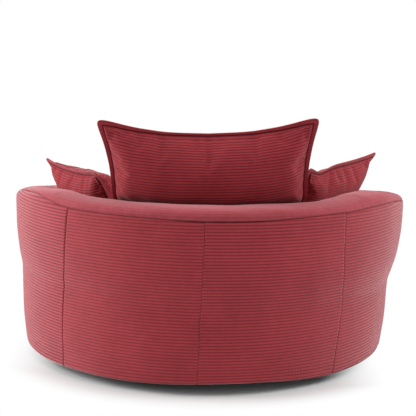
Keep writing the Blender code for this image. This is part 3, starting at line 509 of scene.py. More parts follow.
def skin_normal(place, bearing):
    """The skin's outward direction, in radius and height."""
    radius_before, height_before = skin_at(np.minimum(place, RIM_LENGTH - SKIN_STEP) - SKIN_STEP, bearing)
    radius_after, height_after = skin_at(place + SKIN_STEP, bearing)
    out, rise = height_after - height_before, radius_before - radius_after
    length = np.hypot(out, rise)
    return out / length, rise / length


def under_skin(place, bearing, depth):
    """Points under the skin by a depth."""
    radius, height = skin_at(place, bearing)
    out, rise = skin_normal(place, bearing)
    return at_bearing(radius - depth * out, height - depth * rise, bearing)


def sunk_skin(place, bearing, depth):
    """Points under the skin with the covers' lean, which fades out over the rim."""
    keep = 1.0 - eased(skin_across(place) / LEAN_FADE_SHARE)
    return cover_shift(under_skin(place, bearing, depth), keep)


def seam_climb(bearing):
    return smooth_between(SEAM_CLIMB, bearing)


def cover_top(bearing):
    return seam_height(bearing) + seam_climb(bearing)


def deck_top(bearing):
    return DECK_HEIGHT + 0.0 * bearing


def soft_spot(across, along):
    """One at a place, fading out with the distances from it in reaches."""
    return np.exp(-(across**2) - along**2)


def puckers(bearing, height):
    total = 0.0 * (bearing + height)
    for centre, level, spacing, reach, rise in PUCKERS:
        mask = soft_spot((bearing - centre) / reach, (height - level) / rise)
        total = total + mask * (1.0 + np.sin(math.tau * (bearing - centre) / spacing)) / 2.0
    return PUCKER_DEPTH * total


def pleats(bearing, place):
    centre, reach, spacing = PLEAT_ZONE
    mask = soft_spot((bearing - centre) / reach, (place - PLEAT_PLACE) / PLEAT_REACH)
    return PLEAT_DEPTH * mask * (1.0 + np.sin(math.tau * bearing / spacing)) / 2.0


def make_cover(name, edges, top, phase, seed, top_roll, rolls, look):
    """An outer cover panel: ribs at level heights from the hem up to the rim's seam or the deck."""
    start, end = edges
    probe = np.linspace(HEM_HEIGHT, SEAM_HEIGHT, SEAM_PROBES)
    span = float(np.mean(end(probe) - start(probe)))
    zones = [(centre, GATHERED_REACHES * reach, spacing) for centre, _, spacing, reach, _ in PUCKERS]
    shares = panel_shares(span, float(start(HEM_HEIGHT)), zones)
    left, right = start(SEAM_HEIGHT), end(SEAM_HEIGHT)
    full = float(np.max(top(left + np.linspace(0.0, 1.0, TOP_PROBES) * (right - left))))
    heights = np.append(np.arange(HEM_HEIGHT, full, COVER_PITCH / COVER_ROWS_A_RIB), full)
    first, last = start(heights)[None, :], end(heights)[None, :]
    b = first + (last - first) * shares[:, None]
    limit = top(b)
    h = np.minimum(heights[None, :], limit)
    rise = rib_rise((h - HEM_HEIGHT) / COVER_PITCH + phase)
    below_top = limit - h
    above_hem = h - HEM_HEIGHT
    turned_top = top_roll * (1.0 - eased(below_top / (TOP_ROLL_WIDTH_SHARE * top_roll)))
    turned_hem = HEM_ROLL_DEPTH * (1.0 - eased(above_hem / HEM_ROLL_WIDTH))
    flat = eased(below_top / SEAM_ROLL_WIDTH) * eased(above_hem / SEAM_ROLL_WIDTH)
    depth = CREST_SINK + COVER_RIB_DEPTH * (1.0 - rise * flat) + turned_top + turned_hem
    turned_side = edge_roll(shares, span, np.where(shares < 0.5, *rolls))
    depth = depth + turned_side[:, None] - softness(b, h, COVER_SOFTNESS, seed)
    depth = depth + puckers(b, h)
    hung = h - smooth_between(HEM_SAG, b) * (1.0 - eased(above_hem / HEM_SAG_REACH))
    place = hung - seam_height(b)
    deepest = COVER_BACK_OFFSET - GAP
    outer = sunk_skin(place, b, np.minimum(depth, deepest))
    least = np.where(place < 0.0, skin_at(place, b)[0] - deepest * skin_normal(place, b)[0], 0.0)
    outer[..., :2] *= np.maximum(1.0, least / np.linalg.norm(outer[..., :2], axis=-1))[..., None]
    spots = np.linspace(len(heights) - 1, 0, COVER_BACK_ROWS).astype(int)
    back = under_skin(place[:, spots], b[:, spots], COVER_BACK_OFFSET)
    # The third value is painted shade in the grooves and along the turned-in edges.
    return loft_skin(name, outer, 1.0 - rise * flat, back, look)


def make_rim_pad(name, start, end, look, seed):
    """A length of the padded rim, its ribs running round the chair."""
    span = end - start
    centre, reach, spacing = PLEAT_ZONE
    shares = panel_shares(span, start, [(centre, GATHERED_REACHES * reach, spacing)])
    b = (start + span * shares)[:, None]
    count = int(round(RIM_LENGTH / RIM_PITCH * ROWS_A_RIB))
    climb = seam_climb(b)
    place = np.maximum(np.linspace(0.0, RIM_LENGTH, count + 1)[None, :], climb)
    rise = rib_rise((RIM_LENGTH - place) / RIM_PITCH)
    lip = LIP_DEPTH * np.exp(-(((place - climb) / LIP_WIDTH) ** 2))
    foot = LIP_DEPTH * np.exp(-(((RIM_LENGTH - place) / LIP_WIDTH) ** 2))
    depth = CREST_SINK + RIM_RIB_DEPTH * (1.0 - rise) + lip + foot
    depth = depth + edge_roll(shares, span, RIM_JOINT_DEPTH)[:, None]
    depth = depth + pleats(b, place) - softness(b, RIM_SOFT_STRETCH * place, RIM_SOFTNESS, seed)
    skin = sunk_skin(place, b, depth)
    seam = seam_height(b)
    ledge = drum_radius(seam) - FRAME_OFFSET
    under = seam - RIM_PAD_DEPTH
    behind_cover = drum_radius(seam) - COVER_BACK_OFFSET + GAP
    back = at_bearing(
        np.concatenate([np.full_like(seam, INNER_PAD_BACK_RADIUS), ledge, ledge, behind_cover], axis=1),
        np.concatenate([under, under, seam + GAP, seam + GAP], axis=1),
        b,
    )
    # Painted shade in the rim's grooves and at the lip along its seam.
    painted_shade = RIM_GROOVE_SHADE_SHARE * (1.0 - rise) + LIP_SHADE_SHARE * lip / LIP_DEPTH
    return loft_skin(name, skin, painted_shade, back, look)


def make_inner_pad(name, start, end, look, seed):
    """The padded inside of the barrel, from the deck up to the rim."""
    shares = panel_shares(end - start)
    b = (start + (end - start) * shares)[:, None]
    low = DECK_HEIGHT + GAP
    high = seam_height(b) - RIM_PAD_DEPTH - GAP
    count = int(round((float(high.max()) - low) / COVER_PITCH * ROWS_A_RIB))
    h = np.minimum(np.linspace(low, float(high.max()), count + 1)[None, :], high)
    bulge = INNER_PAD_BULGE * smooth_between(INNER_PAD_BULGE_SHARES, (h - low) / (high - low))
    rise = rib_rise((h - low) / COVER_PITCH)
    turned = INNER_TOP_ROLL * (1.0 - eased((high - h) / INNER_TOP_ROLL_WIDTH))
    turned = turned + edge_roll(shares, end - start)[:, None]
    radius = INNER_PAD_RADIUS - bulge + INNER_RIB_DEPTH * (1.0 - rise) + turned
    radius = radius + softness(b, h, INNER_SOFTNESS, seed)
    back_heights = np.concatenate([high, np.full_like(high, low)], axis=1)
    back = at_bearing(INNER_PAD_BACK_RADIUS, back_heights, b)
    # The third value is painted shade in the grooves.
    return loft_skin(name, at_bearing(radius, h, b), 1.0 - rise, back, look)


def make_facing(name, side, look):
    """The padded front end of an arm, its ribs level with the covers' ribs."""
    radius, height = skin_at(np.linspace(0.0, RIM_LENGTH, FACING_SKIN_POINTS), ARM_END_DEGREES)
    crown = int(np.argmax(height))
    top = float(height[crown]) - FACING_TOP_CLEARANCE
    levels = np.append(np.arange(DECK_HEIGHT + GAP, top, COVER_PITCH / ROWS_A_RIB), top)
    over_outer = np.interp(levels, height[: crown + 1], radius[: crown + 1])
    over_inner = np.interp(levels, height[crown:][::-1], radius[crown:][::-1])
    outer = np.where(levels < float(seam_height(ARM_END_DEGREES)), drum_radius(levels), over_outer)
    outer = (outer - CREST_SINK)[:, None]
    inner = np.where(levels < height[-1], INNER_PAD_RADIUS, over_inner)[:, None]
    spread = (1.0 - np.cos(np.linspace(0.0, math.pi, FACING_COLUMNS))) / 2.0
    r = inner + (outer - inner) * spread[None, :]
    h = levels[:, None] + 0.0 * r
    to_side = np.minimum(r - inner, outer - r)
    to_top = np.maximum(0.0, (top - h))
    near = np.minimum(to_side, to_top + FACING_CORNER_SHARE * to_side) / FACING_ROUND
    swelled = quarter_round(np.clip(near, 0.0, 1.0))
    rise = rib_rise((h - HEM_HEIGHT) / COVER_PITCH)
    first = ARM_END_DEGREES + math.degrees(GAP / WALL_INNER_RADIUS)
    fullness = FACING_EDGE_SHARE + (1.0 - FACING_EDGE_SHARE) * swelled
    thick = np.radians(FACING_TURN_DEGREES) * r * fullness - FACING_RIB_DEPTH * (1.0 - rise) * swelled
    front = at_bearing(r, h, side * (first + np.degrees(thick / r)))
    back = at_bearing(r[:, ::-1][:, ::FACING_BACK_STEP], h[:, ::FACING_BACK_STEP], side * first)
    # The third value is painted shade in the grooves, fading at the rounded edges.
    return loft_skin(name, front, (1.0 - rise) * swelled, back, look)


def seat_outline(bearing):
    share = (np.abs((bearing + 180.0) % 360.0 - 180.0) - LOBE_START_DEGREES) / LOBE_TURN_DEGREES
    return SEAT_RADIUS + (SEAT_FRONT_RADIUS - SEAT_RADIUS) * straight_between(LOBE_ROUND_SHARES, share)


def seat_crown(share):
    """The height of the seat's top at a share of the way out."""
    return SEAT_EDGE_TOP + SEAT_CROWN * (1.0 - share**SEAT_CROWN_POWER)


def seat_under(points):
    """The height of the seat's top under a cushion's points."""
    return seat_crown(np.minimum(1.0, np.hypot(points[..., 0], points[..., 1]) / SEAT_RADIUS))


def tube_round(points, radius, sides):
    """Rings of points of a tube round a closed path, the first ring again at the end."""
    ahead = np.roll(points, -1, axis=0) - np.roll(points, 1, axis=0)
    ahead /= np.linalg.norm(ahead, axis=-1, keepdims=True)
    side = np.cross(ahead, np.array([0.0, 0.0, 1.0]))
    side /= np.linalg.norm(side, axis=-1, keepdims=True)
    lift = np.cross(side, ahead)
    turns = np.linspace(0.0, math.tau, sides, endpoint=False)[None, :, None]
    rings = (
        points[:, None, :]
        + radius * np.cos(turns) * side[:, None, :]
        + radius * np.sin(turns) * lift[:, None, :]
    )
    return np.concatenate([rings, rings[:1]])


def make_seat(look):
    """The T-shaped seat cushion: a crowned top with its ribs across, a border, and piping at both edges."""
    points, faces, painted_shade = [], [], []

    def add_grid(grid, dark, round_columns=False):
        first = sum(len(part) for part in points)
        faces.extend(grid_faces(*grid.shape[:2], first, round_columns))
        points.append(grid.reshape(-1, 3))
        painted_shade.append(np.broadcast_to(dark, grid.shape[:2]).ravel())

    turns = np.linspace(0.0, 180.0, SEAT_OUTLINE_POINTS)
    outline = seat_outline(turns)
    edge_x, edge_y = outline * np.sin(np.radians(turns)), outline * np.cos(np.radians(turns))
    rows = np.arange(-SEAT_FRONT_RADIUS + GAP, SEAT_RADIUS, CUSHION_PITCH / ROWS_A_RIB)
    half = np.interp(rows, edge_y[::-1], edge_x[::-1])
    spread = np.sin(np.linspace(-math.pi / 2, math.pi / 2, SEAT_COLUMNS))
    spread = (spread + np.linspace(-1.0, 1.0, SEAT_COLUMNS)) / 2.0
    x = half[:, None] * spread[None, :]
    y = rows[:, None] + 0.0 * x
    away = np.hypot(x, y)
    edge = seat_outline(bearing_of(x, y))
    near = np.clip((edge - away) / SEAT_EDGE_ROUND, 0.0, 1.0)
    surface = seat_crown(np.minimum(1.0, away / edge)) - SEAT_EDGE_ROUND * (1.0 - quarter_round(near))
    rise = rib_rise(y / CUSHION_PITCH + 0.5)
    hollow = HOLLOW_DEPTH
    for at, (rate, phase) in zip((x, y), HOLLOW_WAVES):
        hollow = hollow * np.sin(rate * at + phase)
    z = surface - CUSHION_RIB_DEPTH * (1.0 - rise) + hollow * near - SEAT_SINK
    add_grid(np.stack([x, y, z], -1), 1.0 - rise)

    bearings = all_round(SEAT_BORDER_POINTS)
    outline = seat_outline(bearings)[:, None]
    top = SEAT_EDGE_TOP - SEAT_EDGE_ROUND
    low = SEAT_BOTTOM + SEAT_EDGE_ROUND * 0.5
    count = int(round((top - low) / CUSHION_PITCH * ROWS_A_RIB))
    levels = np.linspace(low, top, count + 1)[None, :]
    rise = rib_rise((levels - low) / CUSHION_PITCH)
    share = (levels - low) / (top - low)
    belly = BORDER_BELLY * (1.0 - (2.0 * share - 1.0) ** 2)
    radius = outline - BORDER_INSET + belly - BORDER_RIB_DEPTH * (1.0 - rise)
    wall = at_bearing(radius, levels, bearings[:, None])
    add_grid(np.concatenate([wall, wall[:1]]), 1.0 - rise)

    rings = [(1.0, low), (UNDER_SHARES[0], SEAT_BOTTOM + UNDER_LIFT)]
    rings += [(share, SEAT_BOTTOM) for share in UNDER_SHARES[1:]]
    under = [at_bearing((outline[:, 0] - BORDER_INSET) * share, height, bearings) for share, height in rings]
    under.append(np.tile([[0.0, 0.0, SEAT_BOTTOM]], (len(bearings), 1)))
    under = np.stack(under, axis=0)
    # The underside carries painted shade.
    add_grid(np.concatenate([under, under[:, :1]], axis=1), UNDER_SHADE_SHARE)

    # Piping at the top and bottom edges, partly darkened with painted shade.
    for height in (top, low):
        path = at_bearing(outline[:, 0] - PIPING_INSET, height, bearings)
        add_grid(tube_round(path, PIPING_RADIUS, PIPING_SIDES), PIPING_SHADE_SHARE, round_columns=True)
    return finish_mesh("seat_cushion_cover", np.concatenate(points), faces, np.concatenate(painted_shade), look)


# A flanged cushion: draw holds its first side, second side, top and bottom, dents are (place, width, depth),
# ear is how far a corner bends back, and sides says how full its rear and its front are
Cushion = namedtuple(
    "Cushion",
    "name node size centre axes draw seed pitch column_step dents ear sides",
    defaults=(CUSHION_PITCH, CUSHION_COLUMN_STEP, (), 0.0, (1.0, 1.0)),
)


def cushion_form(name, corners, height, thickness, lean, **values):
    """A cushion that stands between two top corners, leaning outwards by an angle in degrees."""
    first, second = np.array(corners)
    span = second - first
    across = span / np.linalg.norm(span)
    outward = np.array([-across[1], across[0], 0.0])
    up = outward * math.sin(math.radians(lean)) + np.array([0.0, 0.0, math.cos(math.radians(lean))])
    up = up - across * float(up @ across)
    up = up / np.linalg.norm(up)
    size = (float(np.linalg.norm(span)) + EAR_ALLOWANCE, height, thickness)
    centre = (first + second) / 2 - up * height / 2
    return Cushion(f"{name}_cover", name, size, centre, (across, up, np.cross(up, across)), **values)


CUSHION_FORMS = (
    cushion_form(
        "back_cushion",
        corners=((-0.3085, 0.495, 0.7915), (0.3125, 0.495, 0.7775)),
        height=0.475,
        thickness=0.170,
        lean=20.0,
        draw=(0.085, 0.103, 0.193, CUSHION_BOTTOM_DRAW_SHARE),
        seed=11,
        pitch=BACK_CUSHION_PITCH,
        column_step=0.0075,
    ),
    cushion_form(
        "scatter_cushion_left",
        corners=((0.334, 0.282, 0.607), (0.551, -0.102, 0.598)),
        height=0.305,
        thickness=0.155,
        lean=27.0,
        draw=(0.100, 0.250, 0.165, CUSHION_BOTTOM_DRAW_SHARE),
        seed=12,
        ear=0.012,
        sides=(0.62, 1.12),
    ),
    cushion_form(
        "scatter_cushion_right",
        corners=((-0.569, -0.100, 0.634), (-0.310, 0.301, 0.627)),
        height=0.315,
        thickness=0.130,
        lean=27.0,
        draw=(0.210, 0.080, 0.075, CUSHION_BOTTOM_DRAW_SHARE),
        seed=13,
        dents=((0.62, 0.26, 0.020),),
        sides=(0.75, 0.80),
    ),
)


def softly_positive(value):
    return (value + np.sqrt(value * value + SQUASH_SOFTNESS**2)) / 2


def flanged_stations(half, count):
    inner = 1.0 - FLANGE_WIDTH / half
    even = np.linspace(-1.0, 1.0, count)
    inside = inner * (even + np.sin(math.pi / 2 * even)) / 2
    return np.concatenate([[-1.0], inside, [1.0]])


def wall_push(points):
    """How far the wall pushes a cushion inwards at points of its rear face."""
    away = np.linalg.norm(points[..., :2], axis=-1)
    bearing = bearing_of(points[..., 0], points[..., 1])
    seam = seam_height(bearing)
    outer = drum_radius(seam)
    across = straight_between(CUSHION_CLEAR_SHARES, (points[..., 2] - seam) / crown_rise(bearing))
    limit = outer - (outer - WALL_INNER_RADIUS) * across - WALL_MARGIN
    push = softly_positive(away - limit)
    outward = points.copy()
    outward[..., 2] = 0.0
    return -outward / np.maximum(away, GAP)[..., None] * push[..., None]


def settle(points):
    """Presses points on the seat, and leaves the lowest of them just clear of it."""
    surface = seat_under(points)
    lift = softly_positive(points[..., 2] - surface)
    near = points[..., 2] < surface + SQUASH_SOFTNESS * SQUASH_REACHES
    settled = points.copy()
    settled[..., 2] = np.where(near, surface + lift - lift.min() + CUSHION_REST_GAP, points[..., 2])
    return settled


def cushion_start(form, fullness):
    """The cushion's rear and front faces before it is filled, as grids of points."""
    width, height, thickness = form.size
    first_draw, second_draw, top_draw, bottom_draw = form.draw
    across_axis, up_axis, rear_axis = form.axes
    columns = flanged_stations(width / 2, COARSE_GRID[0])
    rows = flanged_stations(height / 2, COARSE_GRID[1])
    u, v = np.meshgrid(columns, rows)
    fill = np.maximum(0.0, 1.0 - (u / columns[-2]) ** 2) * np.maximum(0.0, 1.0 - (v / rows[-2]) ** 2)
    puff = (thickness * fullness - FLANGE_THICKNESS) / 2 * fill**PUFF_POWER
    side_draw = np.where(u < 0.0, first_draw, second_draw) * smooth_between(DRAW_SHARES, np.abs(v))
    end_draw = np.where(v > 0.0, top_draw, bottom_draw) * smooth_between(DRAW_SHARES, np.abs(u))
    for place, spread, depth in form.dents:
        dent = np.where(v > 0.0, 2.0 * depth / height, 0.0)
        end_draw = end_draw + dent * np.exp(-(((u - place) / spread) ** 2))
    x = width / 2 * u * (1.0 - side_draw * np.abs(u) ** CORNER_DRAW_POWER)
    z = height / 2 * v * (1.0 - end_draw * np.abs(v) ** CORNER_DRAW_POWER)
    ear_u, ear_v = (eased((at - EAR_START_SHARE) / (1.0 - EAR_START_SHARE)) for at in (-u, v))
    bent = form.ear * ear_u * ear_v
    middle = form.centre + x[..., None] * across_axis + z[..., None] * up_axis + bent[..., None] * rear_axis
    rear_half, front_half = (FLANGE_THICKNESS / 2 + share * puff for share in form.sides)
    rear = middle + rear_axis * rear_half[..., None]
    front = middle - rear_axis * front_half[..., None]
    return columns, rows, rear, front


def cushion_faces(rows, columns):
    """The faces of a rear and a front grid, closed round their border."""
    faces = grid_faces(rows, columns) + grid_faces(rows, columns, rows * columns)
    border = [(0, i) for i in range(columns)]
    border += [(j, columns - 1) for j in range(1, rows)]
    border += [(rows - 1, i) for i in range(columns - 2, -1, -1)]
    border += [(j, 0) for j in range(rows - 2, 0, -1)]
    for here, there in zip(border, border[1:] + border[:1]):
        a, b = here[0] * columns + here[1], there[0] * columns + there[1]
        faces.append((a, b, b + rows * columns, a + rows * columns))
    return faces


def swell(form, rear, front):
    """Fills the cushion by cloth simulation. The flange is held, and no point moves further than the cap."""
    rows, columns = rear.shape[:2]
    start = np.concatenate([rear.reshape(-1, 3), front.reshape(-1, 3)])
    name = f"{form.name}_fill"
    pad = add_object(name, closed_mesh(name, start, cushion_faces(rows, columns)))
    held = np.ones((rows, columns), bool)
    held[HELD_ROWS:-HELD_ROWS, HELD_ROWS:-HELD_ROWS] = False
    held = np.concatenate([held.ravel(), held.ravel()])
    group = pad.vertex_groups.new(name="held")
    group.add(np.flatnonzero(held).tolist(), 1.0, "REPLACE")
    step = pad.modifiers.new("fill", "CLOTH")
    for key, value in CLOTH_SETTINGS.items():
        setattr(step.settings, key, value)
    step.settings.effector_weights.gravity = 0.0
    step.collision_settings.use_collision = False
    scene = bpy.context.scene
    for number in range(1, SWELL_FRAMES + 1):
        scene.frame_set(number)
    filled = pad.evaluated_get(bpy.context.evaluated_depsgraph_get()).to_mesh()
    after = np.zeros(len(start) * 3, np.float32)
    filled.vertices.foreach_get("co", after)
    after = after.reshape(-1, 3).astype(float)
    scene.frame_set(1)
    bpy.data.objects.remove(pad, do_unlink=True)
    moved = after - start
    length = np.maximum(np.linalg.norm(moved, axis=-1, keepdims=True), LEAST_MOVE)
    moved *= SWELL_CAP * np.tanh(length / SWELL_CAP) / length
    return (start + moved).reshape(2, rows, columns, 3)


def place_cushion(form):
    """The cushion's columns and rows, and its filled rear and front faces in their place."""
    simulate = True
    columns, rows, rear, front = cushion_start(form, START_SHARE if simulate else 1.0)
    shift = wall_push(rear)
    rear, front = settle(np.stack([rear + shift, front + shift]))
    if simulate:
        rear, front = swell(form, rear, front)
        shift = wall_push(rear)
        length = np.linalg.norm(shift, axis=-1, keepdims=True)
        shift = shift * np.maximum(0.0, length - SQUASH_SOFTNESS / 2) / np.maximum(length, GAP)
        both = np.stack([rear + shift, front + shift])
        both[..., 2] = np.maximum(both[..., 2], seat_under(both) + CUSHION_REST_GAP)
        rear, front = both
    return columns, rows, rear, front


def read_grid(grid, across, up):
    """A grid of points read smoothly at fractional columns and rows."""
    rows, columns = grid.shape[:2]
    j = np.clip(np.floor(up).astype(int), 0, rows - 2)
    i = np.clip(np.floor(across).astype(int), 0, columns - 2)
    tv, tu = (up - j)[..., None], (across - i)[..., None]

    def weights(t):
        return (
            (-t + 2 * t**2 - t**3) / 2,
            (2 - 5 * t**2 + 3 * t**3) / 2,
            (t + 4 * t**2 - 3 * t**3) / 2,
            (-(t**2) + t**3) / 2,
        )

    total = 0.0
    for wv, dj in zip(weights(tv), (-1, 0, 1, 2)):
        for wu, di in zip(weights(tu), (-1, 0, 1, 2)):
            total = total + wv * wu * grid[np.clip(j + dj, 0, rows - 1), np.clip(i + di, 0, columns - 1)]
    return total


def fine_columns(width, step):
    """Distances across a cushion from its left edge, close together at the edge and the flange's seam."""
    near = np.array(FLANGE_STATIONS)
    count = int(round((width - 2 * near[-1]) / step))
    inside = np.linspace(near[-1], width - near[-1], count + 1)[1:-1]
    return np.concatenate([near, inside, width - near[::-1]])


def rounded_places(across, up, width, height):
    """Places on a cushion drawn in round its four corners, and their distance from its edge."""
    edges = np.minimum(across, width - across), np.minimum(up, height - up)
    over_u, over_v = (np.maximum(0.0, CUSHION_CORNER_RADIUS - edge) for edge in edges)
    corner = (over_u > 0.0) & (over_v > 0.0)
    away = np.maximum(np.hypot(over_u, over_v), LEAST_LENGTH)
    keep = np.where(corner, np.maximum(over_u, over_v) / away, 1.0)
    drawn = []
    for at, edge, over, size in zip((across, up), edges, (over_u, over_v), (width, height)):
        inwards = np.where(corner, CUSHION_CORNER_RADIUS - over * keep, edge)
        drawn.append(np.where(at < size / 2, inwards, size - inwards))
    return drawn[0], drawn[1], np.minimum(*edges)


def surface_normals(points):
    normal = np.cross(np.gradient(points, axis=1), np.gradient(points, axis=0))
    return normal / np.maximum(np.linalg.norm(normal, axis=-1, keepdims=True), LEAST_AREA)


def creases(form, u, v):
    """Soft folds that run from the seams into the faces, deepest near the border."""
    waves = np.random.default_rng(form.seed)
    total = 0.0 * u
    for count in CREASE_COUNTS:
        first, second = waves.uniform(0.0, math.tau, 2)
        wave = np.sin(count * u + first + CREASE_SLANT * v) * np.cos(CREASE_RISE * v + second)
        total = total + wave / count**0.5
    return total


def make_cushion(form, look):
    """A flanged cushion, filled, set in its place, and dressed in ribbed cloth."""
    width, height, _ = form.size
    columns, rows, rear, front = place_cushion(form)
    place_u = (columns + 1.0) * width / 2
    place_v = (rows + 1.0) * height / 2
    along = (np.linalg.norm(np.diff(rear, axis=0), axis=-1)).mean(axis=1)
    lengths = np.concatenate([[0.0], np.cumsum(along)])
    count = int(round(lengths[-1] / form.pitch * ROWS_A_RIB))
    cloth = np.linspace(0.0, lengths[-1], count + 1)
    near_edge = EDGE_ROUND * np.array(EDGE_ROUND_SHARES)
    cloth = np.sort(np.concatenate([cloth, near_edge, lengths[-1] - near_edge]))
    s_u, s_v = np.meshgrid(fine_columns(width, form.column_step), np.interp(cloth, lengths, place_v))
    round_u, round_v, edge = rounded_places(s_u, s_v, width, height)
    column_index = np.interp(round_u, place_u, np.arange(len(place_u)))
    row_index = np.interp(round_v, place_v, np.arange(len(place_v)))
    fine_middle, fine_half = (
        read_grid(grid, column_index, row_index) for grid in ((rear + front) / 2, (rear - front) / 2)
    )

    pinch = np.exp(-(((edge - FLANGE_WIDTH) / SEAM_PINCH_WIDTH) ** 2))
    fullness = quarter_round(np.clip(edge / EDGE_ROUND, 0.0, 1.0))
    fullness = fullness * (1.0 - (1.0 - SEAM_PINCH_SHARE) * pinch)
    fold_u, fold_v = FOLD_WAVES[0] * (s_u / width - 0.5), FOLD_WAVES[1] * (s_v / height - 0.5)
    fold = FOLD_DEPTH * creases(form, fold_u, fold_v)
    fold = fold * eased((edge - FLANGE_WIDTH) / FOLD_FADE_WIDTH)
    rise = rib_rise(np.interp(round_v, place_v, lengths) / form.pitch)
    on_body = FLANGE_RIB_SHARE + BODY_RIB_SHARE * eased((edge - FLANGE_WIDTH) / BODY_RIB_WIDTH)
    on_body = eased(edge / EDGE_ROUND) * on_body
    sink = CUSHION_RIB_DEPTH * (1.0 - rise) * on_body
    skins = []
    for side in (1.0, -1.0):
        surface = fine_middle + side * fine_half * fullness[..., None]
        normal = surface_normals(surface)
        if float(np.sum(normal[count // 2, s_u.shape[1] // 2] * form.axes[2])) * side < 0.0:
            normal = -normal
        skins.append(surface + normal * (fold - sink)[..., None])
    # Painted shade in the grooves and in the pinch along the flange's seam.
    painted_shade = np.maximum((1.0 - rise) * on_body, PINCH_SHADE_SHARE * pinch)
    faces = cushion_faces(*s_u.shape)
    return finish_mesh(form.name, np.stack(skins), faces, np.stack([painted_shade, painted_shade]), look)


# Colours and finishes. A noise is (scale, detail, roughness), and a bump is (strength, depth).
# The groove colours are painted shade in the cord's grooves. The rim's crest, less red and paler than the
# covers' crest, is a painted sheen, and the cushions' crest and groove, darker than the covers' same cord,
# are painted shade.
COVER_CREST = (0.365, 0.043, 0.053)
COVER_GROOVE_SHADE = (0.120, 0.007, 0.012)
RIM_SHEEN_CREST = (0.330, 0.050, 0.062)
CUSHION_SHADED_CREST = (0.325, 0.034, 0.043)
CUSHION_GROOVE_SHADE = (0.085, 0.005, 0.009)
CORD_ROUGHNESS = 0.90
CORD_SPECULAR = 0.10
CORD_SHEEN_TINT = (1.0, 0.73, 0.76, 1.0)
PATCH_NOISE = (11.0, 3.0, 0.55)
MOTTLE_NOISE = (70.0, 4.0, 0.6)
FUZZ_NOISE = (620.0, 3.0, 0.7)
FUZZ_BUMP = (0.45, 0.0007)
PATCH_STRENGTH = 0.8
LIGHTER_SHARE = 1.26
DARKER_SHARE = 0.76
GROOVE_SHADE_POWER = 1.1
WOOD_STRETCH = (3.0, 40.0, 40.0)
WOOD_NOISE = (4.0, 6.0, 0.6)
WOOD_BUMP = (0.25, 0.0004)
WOOD_GRAIN_SHARE = 0.7
PLY_SHARE = 0.45
PLY_DISTORTION = 1.2
PLAIN_DETAIL = 5.0
PLAIN_GRAIN_ROUGHNESS = 0.65
PLAIN_ROUGHNESS_SPREAD = 0.25
PLAIN_ROUGHNESS_SHIFT = 0.12
PLAIN_BUMP_STRENGTH = 0.30


def set_inputs(tree, node, inputs):
    """Sets inputs of a node to values, or joins them to other nodes' outputs."""
    for key, value in inputs.items():
        if isinstance(value, bpy.types.NodeSocket):
            tree.links.new(value, node.inputs[key])
        else:
            node.inputs[key].default_value = value


def add_node(tree, kind, inputs=None, **values):
    made = tree.nodes.new(kind)
    for key, value in values.items():
        setattr(made, key, value)
    set_inputs(tree, made, inputs or {})
    return made


def noise(tree, coordinates, scale, detail, roughness):
    inputs = {"Scale": scale, "Detail": detail, "Roughness": roughness, "Vector": coordinates}
    return add_node(tree, "ShaderNodeTexNoise", inputs).outputs["Fac"]


def math_node(tree, operation, *inputs, clamp=False):
    made = add_node(tree, "ShaderNodeMath", dict(enumerate(inputs)), operation=operation, use_clamp=clamp)
    return made.outputs[0]


def mix_color(tree, share, *colors):
    """Two colours mixed by a share. Inputs 6 and 7 and output 2 are the node's colour sockets."""
    first, second = ((*color, 1.0) if isinstance(color, tuple) else color for color in colors)
    made = add_node(tree, "ShaderNodeMix", {0: share, 6: first, 7: second}, data_type="RGBA")
    return made.outputs[2]


def stretched(tree, coordinates, stretch, shift=(0.0, 0.0, 0.0)):
    inputs = {"Scale": stretch, "Location": shift, "Vector": coordinates}
    return add_node(tree, "ShaderNodeMapping", inputs).outputs["Vector"]


def new_look(name, roughness, metallic=0.0):
    made = bpy.data.materials.new(name)
    made.use_nodes = True
    tree = made.node_tree
    shader = tree.nodes["Principled BSDF"]
    set_inputs(tree, shader, {"Roughness": roughness, "Metallic": metallic})
    place = add_node(tree, "ShaderNodeTexCoord").outputs["Object"]
    return made, tree, shader, place


def bump(tree, shader, height, strength, distance):
    inputs = {"Strength": strength, "Distance": distance, "Height": height}
    tree.links.new(add_node(tree, "ShaderNodeBump", inputs).outputs["Normal"], shader.inputs["Normal"])


def cord_look(name, crest, groove_shade_color, sheen, sheen_roughness, pile_strength):
    """Wide cord: pile on the ribs, painted shade towards the groove colour in the grooves and seams, slow
    patches where the pile lies over, fine fuzz.
    """
    made, tree, shader, place = new_look(name, CORD_ROUGHNESS)
    # The attribute read here is painted shade: it darkens the colour in the grooves, at the seams, on the
    # piping and under the seat.
    painted_shade = add_node(tree, "ShaderNodeAttribute", attribute_name="painted_shade").outputs["Fac"]
    patches, mottle, fuzz = (noise(tree, place, *kind) for kind in (PATCH_NOISE, MOTTLE_NOISE, FUZZ_NOISE))
    lighter = tuple(min(1.0, c * LIGHTER_SHARE) for c in crest)
    darker = tuple(c * DARKER_SHARE for c in crest)
    spread = math_node(tree, "MULTIPLY_ADD", mottle, pile_strength, 0.5 - pile_strength / 2)
    slow = math_node(tree, "MULTIPLY_ADD", patches, PATCH_STRENGTH, -PATCH_STRENGTH / 2)
    pile = mix_color(tree, math_node(tree, "ADD", spread, slow, clamp=True), darker, lighter)
    # Painted shade: the colour darkens towards the groove colour by the attribute.
    groove_shade_share = math_node(tree, "POWER", painted_shade, GROOVE_SHADE_POWER, clamp=True)
    inputs = {
        "Base Color": mix_color(tree, groove_shade_share, pile, groove_shade_color),
        "Sheen Weight": sheen,
        "Sheen Roughness": sheen_roughness,
        "Sheen Tint": CORD_SHEEN_TINT,
        "Specular IOR Level": CORD_SPECULAR,
    }
    set_inputs(tree, shader, inputs)
    bump(tree, shader, fuzz, *FUZZ_BUMP)
    return made


